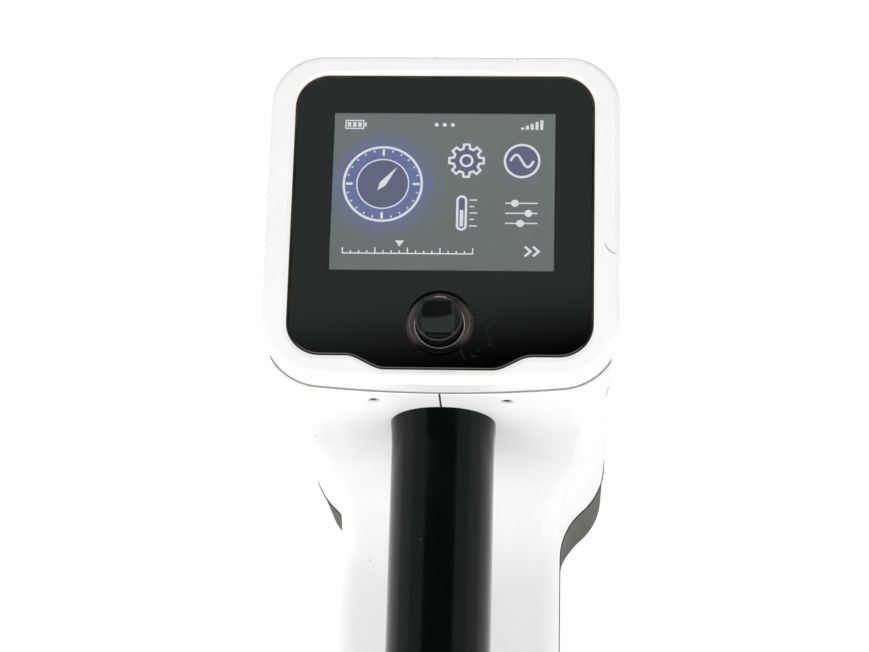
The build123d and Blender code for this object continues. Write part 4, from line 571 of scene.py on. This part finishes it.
# Partly a ground edge and partly a painted highlight: the inner part of the bevel is painted grey
# along the chin alone, where it faces the lamps.
inner = ramp(tree, spot["Z"], *[lens_top - BEVEL * share for share in BEVEL_INNER])
ground = blend_colours(tree, inner, paint, GROUND_EDGE_AND_HIGHLIGHT)
chin = ramp(tree, spot["Y"], CHIN_Y + CHIN_FADE, CHIN_Y)
tree.links.new(blend_colours(tree, chin, sealed, ground), shader.inputs["Base Color"])
lens = softened("lens", "receiver")
lens.data.materials.append(lens_clear)
lens.data.materials.append(lens_bevel)
for face in lens.data.polygons:
    face.material_index = int(BEVEL_SLOPES[0] < face.normal.z < BEVEL_SLOPES[1])

mask_black = moulded(
    "mask_black", (0.004, 0.005, 0.005), (0.005, 0.006, 0.006),
    gloss=0.5, spread=0.1, grain=900.0, depth=0.00002,
)
dress(mask_black, "lens_mask")
bead_brown = moulded(
    "bead_brown", (0.012, 0.011, 0.008), (0.035, 0.027, 0.015),
    gloss=0.45, spread=0.2, grain=1500.0, depth=0.00015,
)
dress(bead_brown, "lens_seal")


# Display: a lit liquid-crystal panel behind the window. Its ground is an even grey, with
# a soft blue glow behind the picked dial.
WINDOW_MIDDLE = (0.0, 0.1335)
WINDOW_HALF_Y = 0.033
GLOW_MIDDLE = (-0.024, 0.1365)
GLOW_R = 0.026
GLOW_CORE_R = 0.0052
GLOW_BLUE = (0.045, 0.075, 0.34)
LOW_GREY = (0.052, 0.068, 0.068)
HIGH_GREY = (0.066, 0.086, 0.085)
panel_lit = moulded(
    "panel_lit", (0.012, 0.013, 0.013), (0.015, 0.016, 0.016),
    gloss=0.35, spread=0.05, grain=900.0, depth=0.000005, Emission_Strength=1.0,
)
tree, shader = opened(panel_lit)
spot = parts_of_place(tree)
from_x = calc(tree, "SUBTRACT", spot["X"], GLOW_MIDDLE[0])
from_y = calc(tree, "SUBTRACT", spot["Y"], GLOW_MIDDLE[1])
glow = ramp(tree, distance(tree, from_x, from_y), GLOW_R, GLOW_CORE_R)
window_rear = WINDOW_MIDDLE[1] - WINDOW_HALF_Y
upward = ramp(tree, spot["Y"], window_rear, WINDOW_MIDDLE[1] + WINDOW_HALF_Y)
ground = blend_colours(tree, upward, LOW_GREY, HIGH_GREY)
tree.links.new(blend_colours(tree, glow, ground, GLOW_BLUE), shader.inputs["Emission Color"])
dress(panel_lit, "display_panel")


# Screen picture: a plain layout drawn for this part, a dial on the left, four signs on the
# right, a battery gauge and signal bars above and a scale below. Each mark is a thin lit
# plate on the panel, and its places and sizes are in millimetres from the window's middle.
MM = 0.001
MARK_THICK = 0.00005
MITRE_LIMIT = 0.35
CELL_DIM = 0.86
panel_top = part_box("display_panel")[1].z


def lit(name, colour):
    """A lit mark: an emitting colour with a faint unevenness of the panel's cells."""
    material = moulded(
        name, (0.01, 0.01, 0.01), (0.012, 0.012, 0.012),
        gloss=0.4, spread=0.05, grain=900.0, depth=0.000005, Emission_Strength=1.0,
    )
    tree, shader = opened(material)
    cells = add_node(tree, "TexNoise", Vector=place_on(tree), Scale=2500.0)
    dimmed = tuple(CELL_DIM * part for part in colour)
    shared = ramp(tree, cells.outputs["Fac"], 0.3, 0.7)
    tree.links.new(blend_colours(tree, shared, colour, dimmed), shader.inputs["Emission Color"])
    return material


def around(middle, radius, angle):
    """The point at this angle, in radians, on a circle."""
    return middle[0] + radius * math.cos(angle), middle[1] + radius * math.sin(angle)


def arc(middle, radius, start=0.0, sweep=360.0, count=48):
    """Points on a circle or part of one, from start through sweep in degrees."""
    steps = range(count if abs(sweep) >= 360.0 else count + 1)
    return [around(middle, radius, math.radians(start + sweep * step / count)) for step in steps]


def plate(left, low, right, high):
    """The corners of an upright rectangle."""
    return [(left, low), (right, low), (right, high), (left, high)]


def sides(points, width, closed):
    """Both edges of a stroke of this width along the points."""
    left, right = [], []
    count = len(points)
    for index, point in enumerate(points):
        here = Vector(point)
        before = Vector(points[index - 1]) if closed or index else None
        after = Vector(points[(index + 1) % count]) if closed or index + 1 < count else None
        ways = [(here - before).normalized()] if before else []
        ways += [(after - here).normalized()] if after else []
        way = sum(ways, Vector((0.0, 0.0))).normalized()
        normal = Vector((-way.y, way.x))
        reach = width / 2 / max(MITRE_LIMIT, normal.dot(Vector((-ways[0].y, ways[0].x))))
        left.append(here + normal * reach)
        right.append(here - normal * reach)
    return left, right


def lay_marks(name, material, level, strokes=(), plates=()):
    """One piece of the picture from strokes (points, width, closed) and filled plates."""
    solid = bmesh.new()
    low = panel_top + level
    high = low + MARK_THICK

    def raised(points, z):
        places = [(WINDOW_MIDDLE[0] + x * MM, WINDOW_MIDDLE[1] + y * MM, z) for x, y in points]
        return [solid.verts.new(place) for place in places]

    def wall(lower, upper):
        for index in range(len(lower)):
            after = (index + 1) % len(lower)
            solid.faces.new((lower[index], lower[after], upper[after], upper[index]))

    for points in plates:
        lower, upper = raised(points, low), raised(points, high)
        solid.faces.new(upper)
        solid.faces.new(lower[::-1])
        wall(lower, upper)
    for points, width, closed in strokes:
        left, right = sides(points, width, closed)
        if not closed:
            outline = left + right[::-1]
            lower, upper = raised(outline, low), raised(outline, high)
            count = len(left)
            for index in range(count - 1):
                quad = (index, index + 1, 2 * count - 2 - index, 2 * count - 1 - index)
                solid.faces.new([upper[i] for i in quad])
                solid.faces.new([lower[i] for i in quad[::-1]])
            wall(lower, upper)
            continue
        left_low, left_high = raised(left, low), raised(left, high)
        right_low, right_high = raised(right, low), raised(right, high)
        wall(left_high, right_high)
        wall(right_low, left_low)
        wall(right_high, right_low)
        wall(left_low, left_high)
    bmesh.ops.recalc_face_normals(solid, faces=solid.faces)
    mesh = bpy.data.meshes.new(name)
    solid.to_mesh(mesh)
    solid.free()
    mesh.materials.append(material)
    piece = bpy.data.objects.new(name, mesh)
    bpy.context.scene.collection.objects.link(piece)
    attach(piece, "receiver")


mark_white = lit("mark_white", (0.72, 0.76, 0.78))
mark_blue = lit("mark_blue", (0.03, 0.04, 0.13))
FILL_LEVEL = 0.00004
LINE_LEVEL = 0.00012
STROKE = 0.95
THIN = 0.5

DIAL = (-24.0, 3.0)
DIAL_R = 15.5
GROUND_R = DIAL_R - 5.2
TICK_OUTER_R = DIAL_R - 0.9
TICK_R = DIAL_R - 1.8
MAIN_TICK_R = DIAL_R - 3.6
TICKS = 24
ticks = []
for step in range(TICKS):
    inner_r, width = (MAIN_TICK_R, STROKE) if step % 6 == 0 else (TICK_R, THIN)
    turn = math.radians(360 / TICKS * step)
    ends = [around(DIAL, radius, turn) for radius in (inner_r, TICK_OUTER_R)]
    ticks.append((ends, width, False))
circles = [(arc(DIAL, DIAL_R), STROKE, True), (arc(DIAL, GROUND_R), THIN, True)]
lay_marks("screen_dial_ground", mark_blue, FILL_LEVEL, plates=[arc(DIAL, GROUND_R)])
lay_marks("screen_dial", mark_white, LINE_LEVEL, strokes=circles + ticks)

NEEDLE_ANGLE = math.radians(52)
NEEDLE_TIP = 9.2
NEEDLE_TAIL = 3.4
NEEDLE_HALF_WIDTH = 1.3
hub = Vector(DIAL)
ahead = Vector((math.cos(NEEDLE_ANGLE), math.sin(NEEDLE_ANGLE)))
beside = Vector((-ahead.y, ahead.x)) * NEEDLE_HALF_WIDTH
needle = [hub + ahead * NEEDLE_TIP, hub + beside, hub - ahead * NEEDLE_TAIL, hub - beside]
lay_marks("screen_needle", mark_white, LINE_LEVEL, plates=[needle])

SIGN_X = (9.0, 31.0)
SIGN_Y = (13.0, -9.0)
GEAR_TEETH = 8
GEAR_ROOT_R = 5.2
GEAR_TIP_R = 6.9
GEAR_HOLE_R = 2.3
gear_middle = (SIGN_X[0], SIGN_Y[0])
tooth_points = ((-0.32, GEAR_ROOT_R), (-0.2, GEAR_TIP_R), (0.2, GEAR_TIP_R), (0.32, GEAR_ROOT_R))
gear = []
for tooth in range(GEAR_TEETH):
    for turn, radius in tooth_points:
        gear.append(around(gear_middle, radius, 2 * math.pi * (tooth + turn) / GEAR_TEETH))

WAVE_R = 6.8
WAVE_HALF = 4.6
WAVE_HIGH = 2.6
WAVE_STEPS = 28
wave_middle = (SIGN_X[1], SIGN_Y[0])
wave = []
for step in range(WAVE_STEPS + 1):
    wave_x = wave_middle[0] - WAVE_HALF + 2 * WAVE_HALF * step / WAVE_STEPS
    wave.append((wave_x, wave_middle[1] + WAVE_HIGH * math.sin(2 * math.pi * step / WAVE_STEPS)))

TUBE_R = 1.7
TUBE_HALF = 5.2
gauge_x, gauge_y = SIGN_X[0], SIGN_Y[1]
tube_x = gauge_x - 1.5
gauge = arc((tube_x, gauge_y + TUBE_HALF), TUBE_R, 0, 180, 12)
gauge += arc((tube_x, gauge_y - TUBE_HALF), TUBE_R, 180, 180, 12)
gauge_fill = plate(gauge_x - 2.2, gauge_y - 5.6, gauge_x - 0.8, gauge_y + 1.2)
gauge_ticks = []
for rise, length in ((-5.4, 4.6), (-2.7, 3.4), (0.0, 4.6), (2.7, 3.4), (5.4, 4.6)):
    ends = [(gauge_x + start, gauge_y + rise) for start in (1.6, length)]
    gauge_ticks.append((ends, THIN, False))

SLIDE_HALF = 6.4
KNOB_R = 1.5
slides = []
knobs = []
for row, knob in ((4.2, -2.6), (0.0, 2.8), (-4.2, -0.4)):
    ends = [(SIGN_X[1] + end, SIGN_Y[1] + row) for end in (-SLIDE_HALF, SLIDE_HALF)]
    slides.append((ends, THIN, False))
    knobs.append(arc((SIGN_X[1] + knob, SIGN_Y[1] + row), KNOB_R, count=24))

outlines = [
    (gear, STROKE, True),
    (arc(gear_middle, GEAR_HOLE_R, count=24), STROKE, True),
    (arc(wave_middle, WAVE_R), STROKE, True),
    (wave, STROKE, False),
    (gauge, STROKE, True),
]
grounds = [gear, arc(wave_middle, WAVE_R), gauge]
lay_marks("screen_sign_grounds", mark_blue, FILL_LEVEL, plates=grounds)
lay_marks(
    "screen_signs",
    mark_white,
    LINE_LEVEL,
    strokes=outlines + gauge_ticks + slides,
    plates=knobs + [gauge_fill],
)

TOP_ROW = 28.2
CHARGE_WIDTH = 1.4
BAR_WIDTH = 1.2
BAR_FOOT = TOP_ROW - 1.9
PAGE_R = 0.8
cell = plate(-39.5, TOP_ROW - 1.7, -32.4, TOP_ROW + 1.7)
nub = plate(-32.0, TOP_ROW - 0.8, -31.2, TOP_ROW + 0.8)
charge = [
    plate(left, TOP_ROW - 1.0, left + CHARGE_WIDTH, TOP_ROW + 1.0) for left in (-38.8, -36.7, -34.6)
]
bars = [
    plate(left, BAR_FOOT, left + BAR_WIDTH, BAR_FOOT + tall)
    for left, tall in ((30.4, 0.9), (32.3, 1.7), (34.2, 2.5), (36.1, 3.3), (38.0, 4.1))
]
pages = [arc((x, TOP_ROW), PAGE_R, count=20) for x in (-3.2, 0.0, 3.2)]
lay_marks(
    "screen_top_row",
    mark_white,
    LINE_LEVEL,
    strokes=[(cell, THIN, True)],
    plates=charge + [nub] + bars + pages,
)

SCALE_Y = -26.0
SCALE_START = -39.0
SCALE_STEP = 3.2
SCALE_TICKS = 17
scale_line = [(-39.2, SCALE_Y), (12.4, SCALE_Y)]
scale_ticks = []
for step in range(SCALE_TICKS):
    tick_x = SCALE_START + SCALE_STEP * step
    tick_top = SCALE_Y + (2.4 if step % 4 == 0 else 1.2)
    scale_ticks.append(([(tick_x, SCALE_Y), (tick_x, tick_top)], THIN, False))
pointer = [(-16.6, SCALE_Y + 2.8), (-14.8, SCALE_Y + 5.4), (-18.4, SCALE_Y + 5.4)]
chevrons = []
for left in (32.6, 35.8):
    bend = [(left, SCALE_Y + 3.2), (left + 2.2, SCALE_Y + 1.2), (left, SCALE_Y - 0.8)]
    chevrons.append((bend, STROKE, False))
lay_marks(
    "screen_scale",
    mark_white,
    LINE_LEVEL,
    strokes=[(scale_line, THIN, False)] + scale_ticks + chevrons,
    plates=[pointer],
)


# Four-way toggle: a polished black cap with a dished square pad, on a dome that tilts in
# a matt brown-black collar. The collar is a turned ring set in the lens, with a bright lip.
CAP_EDGE = 0.0009
CAP_SPREAD = 1.055
DISH_DEPTH = 0.0024
DISH_SHARE = 0.65
PAD_HALF = 0.0058
cap_black = moulded(
    "cap_black", (0.004, 0.005, 0.005), (0.006, 0.006, 0.006),
    gloss=0.1, spread=0.06, grain=900.0, depth=0.00001,
)
scratch(cap_black, dulling=0.3, Scale=120.0, Share=0.4)
cap = softened(
    "toggle_cap", "toggle_stick", CAP_EDGE, lambda point: point.z > lens_top
)
for vertex in cap.data.vertices:
    x, y, z = vertex.co
    if z < lens_top:
        continue
    inside = max(abs(x), abs(y - toggle_y)) < PAD_HALF
    sunk = cap_high.z - z
    if sunk < DISH_DEPTH / 2 or (inside and sunk < DISH_DEPTH):
        vertex.co.z = cap_high.z - sunk * DISH_SHARE
    vertex.co.x = x * CAP_SPREAD
    vertex.co.y = toggle_y + (y - toggle_y) * CAP_SPREAD
cap.data.materials.append(cap_black)

LIP_R = 0.3
LIP_MIDDLE = (9.6, -1.65)
COLLAR_TURNS = 128
COLLAR_CREASE = math.radians(40)
collar_profile = [
    (11.09, -7.4),
    (14.0, -7.4),
    (14.0, -3.4),
    (12.15, -3.4),
    (12.15, -0.9),
    (12.05, -0.65),
    (11.8, -0.55),
    (11.6, -0.6),
    *[around(LIP_MIDDLE, LIP_R, math.radians(turn)) for turn in range(40, 181, 20)],
    (9.3, -2.4),
    (9.7, -5.3),
]
turned = bmesh.new()
rings = []
for step in range(COLLAR_TURNS):
    ring = []
    for radius, rise in collar_profile:
        x, y = around((0.0, toggle_y), radius * MM, 2 * math.pi * step / COLLAR_TURNS)
        ring.append(turned.verts.new((x, y, lens_top + rise * MM)))
    rings.append(ring)
for ring, after in zip(rings, rings[1:] + rings[:1]):
    for row in range(len(collar_profile)):
        corners = (ring[row - 1], ring[row], after[row], after[row - 1])
        turned.faces.new(corners).smooth = True
bmesh.ops.recalc_face_normals(turned, faces=turned.faces)
for edge in turned.edges:
    edge.smooth = edge.calc_face_angle() < COLLAR_CREASE
mesh = bpy.data.meshes.new("toggle_collar_turned")
turned.to_mesh(mesh)
turned.free()
collar = bpy.data.objects.new("toggle_collar_turned", mesh)
bpy.context.scene.collection.objects.link(collar)
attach(collar, "receiver")
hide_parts("toggle_collar")

COLLAR_REAR = (-0.004, -0.0098)
COLLAR_FRONT = (0.005, 0.0095)
COLLAR_LIP = (0.00995, 0.00985)
REAR_PAINTED_SHADE = (0.003, 0.0025, 0.0025)
FRONT_DARKER = (0.022, 0.023, 0.023)
LIP_BRIGHT = (0.7, 0.68, 0.68)
collar_brown = moulded(
    "collar_brown", (0.075, 0.06, 0.058), (0.12, 0.095, 0.092),
    gloss=0.3, spread=0.15, grain=1300.0, depth=0.00005,
)
tree, shader = opened(collar_brown)
spot = parts_of_place(tree)
from_y = calc(tree, "SUBTRACT", spot["Y"], toggle_y)
# Painted shade: the rear side of the bowl, which faces away from the lamps, is painted near black.
# The front part is painted darker too.
rear = ramp(tree, from_y, *COLLAR_REAR)
worn_and_shaded = blend_colours(tree, rear, feed(shader, "Base Color"), REAR_PAINTED_SHADE)
worn_and_shaded = blend_colours(tree, ramp(tree, from_y, *COLLAR_FRONT), worn_and_shaded, FRONT_DARKER)
polished = ramp(tree, distance(tree, spot["X"], from_y), *COLLAR_LIP)
tree.links.new(blend_colours(tree, polished, worn_and_shaded, LIP_BRIGHT), shader.inputs["Base Color"])
tree.links.new(polished, shader.inputs["Metallic"])
collar.data.materials.append(collar_brown)


# Grip: a smooth black elastomer sleeve, moulded over the handle and flared at the neck,
# with a few specks of dust.
DUST = (0.12, 0.12, 0.11)
grip_black = moulded(
    "grip_black", (0.0009, 0.002, 0.0016), (0.0013, 0.0026, 0.0022),
    gloss=0.16, spread=0.05, grain=1600.0, depth=0.00002, Specular_IOR_Level=0.2,
)
speckle(grip_black, DUST, share=0.03, Scale=320.0)
dress(grip_black, "grip")


# Trigger: a black lever under the grip with a hollow for the finger, on a steel pin. A coil
# spring between it and its bracket pushes it down. The real spring shortens as the trigger
# is pulled; here it is a rigid copy fixed to the receiver.
trigger_black = moulded(
    "trigger_black", (0.012, 0.012, 0.012), (0.02, 0.02, 0.02),
    gloss=0.36, spread=0.12, grain=1200.0, depth=0.00008,
)
dress(trigger_black, "trigger")
spring = softened("trigger_spring", "receiver")
spring.data.materials.append(plated_steel)
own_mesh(spring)


# Signal window: a dark red plastic pane in the front, which only infrared light passes.
# It is moulded smooth and set in the shells before the emitters.
window_red = moulded(
    "window_red", (0.09, 0.006, 0.009), (0.11, 0.008, 0.01),
    gloss=0.12, spread=0.05, grain=700.0, depth=0.00001, Coat_Weight=0.5,
)
dress(window_red, "signal_window")


# Studio: a pale floor, three soft lamps, a pale sky, and a ceiling card and two upright
# cards that only reflections see. The camera stands at the photograph's angle.
def sheet(name, half_x, half_y, z):
    """A level rectangle of the studio."""
    corners = [(x, y, z) for x, y in plate(-half_x, -half_y, half_x, half_y)]
    mesh = bpy.data.meshes.new(name)
    mesh.from_pydata(corners, [], [(0, 1, 2, 3)])
    card = bpy.data.objects.new(name, mesh)
    bpy.context.scene.collection.objects.link(card)
    return card


def seen_share(tree):
    """1 for rays that see the background: from the camera, off gloss or through glass."""
    rays = add_node(tree, "LightPath").outputs
    behind = calc(tree, "MAXIMUM", rays["Is Transmission Ray"], rays["Is Glossy Ray"])
    return calc(tree, "MAXIMUM", rays["Is Camera Ray"], behind)


def glowing(name):
    """A finish that only gives off light, with its node tree and its colour's socket."""
    material = bpy.data.materials.new(name)
    material.use_nodes = True
    tree = material.node_tree
    tree.nodes.remove(tree.nodes["Principled BSDF"])
    light = add_node(tree, "Emission")
    tree.links.new(light.outputs["Emission"], tree.nodes["Material Output"].inputs["Surface"])
    return material, tree, light.inputs["Color"]


def show_in_gloss_alone(card):
    """Keep a card out of everything but reflections."""
    for ray in ("camera", "diffuse", "transmission", "shadow"):
        setattr(card, f"visible_{ray}", False)


FLOOR_HALF = 14.0
FLOOR_LIFT = 0.55
floor = sheet("floor", FLOOR_HALF, FLOOR_HALF, 0.0)
floor_pale = moulded(
    "floor_pale", (0.86, 0.86, 0.86), (0.84, 0.84, 0.84),
    gloss=0.9, spread=0.05, grain=60.0, depth=0.00001, Emission_Color=(1.0, 1.0, 1.0, 1.0),
)
tree, shader = opened(floor_pale)
lifted = calc(tree, "MULTIPLY", seen_share(tree), FLOOR_LIFT)
tree.links.new(lifted, shader.inputs["Emission Strength"])
floor.data.materials.append(floor_pale)

CEILING_HALF = 4.0
CEILING_Z = 2.27
CEILING_DARK = (0.002, 0.012, 0.009)
CEILING_PALE = (0.57, 0.67, 0.64)
DARK_HALF_X = 1.2
DARK_SIDE_FADE = 0.12
DARK_EDGE_Y = 0.7
DARK_EDGE_FADE = 0.06
DARK_SLOPE = 0.12
ceiling = sheet("ceiling_card", CEILING_HALF, CEILING_HALF, CEILING_Z)
card_grey, tree, light = glowing("card_grey")
spot = parts_of_place(tree)
edge = calc(tree, "SUBTRACT", spot["Y"], calc(tree, "MULTIPLY", spot["X"], DARK_SLOPE))
beyond = ramp(tree, edge, DARK_EDGE_Y - DARK_EDGE_FADE, DARK_EDGE_Y + DARK_EDGE_FADE)
aside = calc(tree, "ABSOLUTE", spot["X"])
beside = ramp(tree, aside, DARK_HALF_X - DARK_SIDE_FADE, DARK_HALF_X + DARK_SIDE_FADE)
open_share = calc(tree, "MAXIMUM", beyond, beside)
tree.links.new(blend_colours(tree, open_share, CEILING_DARK, CEILING_PALE), light)
ceiling.data.materials.append(card_grey)
show_in_gloss_alone(ceiling)

CARD_HALF_Z = 0.5
CARD_DIMMEST = 0.8
for name, y, z, half_x, colour in (
    ("front_card", 1.9, 1.0, 0.35, (9.0, 7.3, 7.8)),
    ("rear_card", -1.9, 1.1, 1.2, (1.5, 1.4, 1.45)),
):
    upright = sheet(name, half_x, CARD_HALF_Z, 0.0)
    upright.location = (0.0, y, z)
    upright.rotation_euler = (math.radians(90), 0.0, 0.0)
    card_bright, tree, light = glowing(name)
    spread_out = add_node(tree, "TexCoord").outputs["Generated"]
    uneven = add_node(tree, "TexNoise", Vector=spread_out, Scale=3.0).outputs["Fac"]
    dimmed = tuple(CARD_DIMMEST * part for part in colour)
    tree.links.new(blend_colours(tree, uneven, dimmed, colour), light)
    upright.data.materials.append(card_bright)
    show_in_gloss_alone(upright)

LAMP_SIZE = 2.2
LAMP_AIM = Vector((0.0, 0.05, 0.15))
for side, place, watts in (
    ("left", (-1.5, -1.1, 1.2), 30.5),
    ("right", (1.5, -1.1, 1.2), 26.8),
    ("top", (0.0, -0.5, 2.2), 20.0),
):
    lamp_light = bpy.data.lights.new(f"{side}_lamp", "AREA")
    lamp_light.shape = "SQUARE"
    lamp_light.size = LAMP_SIZE
    lamp_light.energy = watts
    lamp = bpy.data.objects.new(f"{side}_lamp", lamp_light)
    lamp.location = place
    lamp.rotation_euler = (LAMP_AIM - Vector(place)).to_track_quat("-Z", "Y").to_euler()
    lamp.visible_glossy = False
    bpy.context.scene.collection.objects.link(lamp)

HIGH_LIGHT = (0.3, 0.3, 0.3)
LOW_LIGHT = (0.36, 0.36, 0.36)
world = bpy.data.worlds.new("studio")
world.use_nodes = True
tree = world.node_tree
soft = tree.nodes["Background"]
way = add_node(tree, "TexCoord").outputs["Generated"]
height = add_node(tree, "SeparateXYZ", Vector=way).outputs["Z"]
sky = blend_colours(tree, ramp(tree, height, 0.2, 0.95), LOW_LIGHT, HIGH_LIGHT)
tree.links.new(sky, soft.inputs["Color"])
white = add_node(tree, "Background", Color=(1.0, 1.0, 1.0, 1.0), Strength=1.0)
both = tree.nodes.new("ShaderNodeMixShader")
tree.links.new(seen_share(tree), both.inputs["Fac"])
tree.links.new(soft.outputs["Background"], both.inputs[1])
tree.links.new(white.outputs["Background"], both.inputs[2])
tree.links.new(both.outputs["Shader"], tree.nodes["World Output"].inputs["Surface"])
bpy.context.scene.world = world

SENSOR = 36.0
FOCAL = 97.3533
camera_lens = bpy.data.cameras.new("camera")
camera_lens.sensor_width = SENSOR
camera_lens.lens = FOCAL
camera = bpy.data.objects.new("camera", camera_lens)
camera.location = (0.0483, -0.1894, 1.1385)
camera.rotation_euler = (math.radians(17.126), math.radians(2.857), math.radians(1.464))
bpy.context.scene.collection.objects.link(camera)
bpy.context.scene.camera = camera
bpy.context.scene.view_settings.view_transform = "Standard"
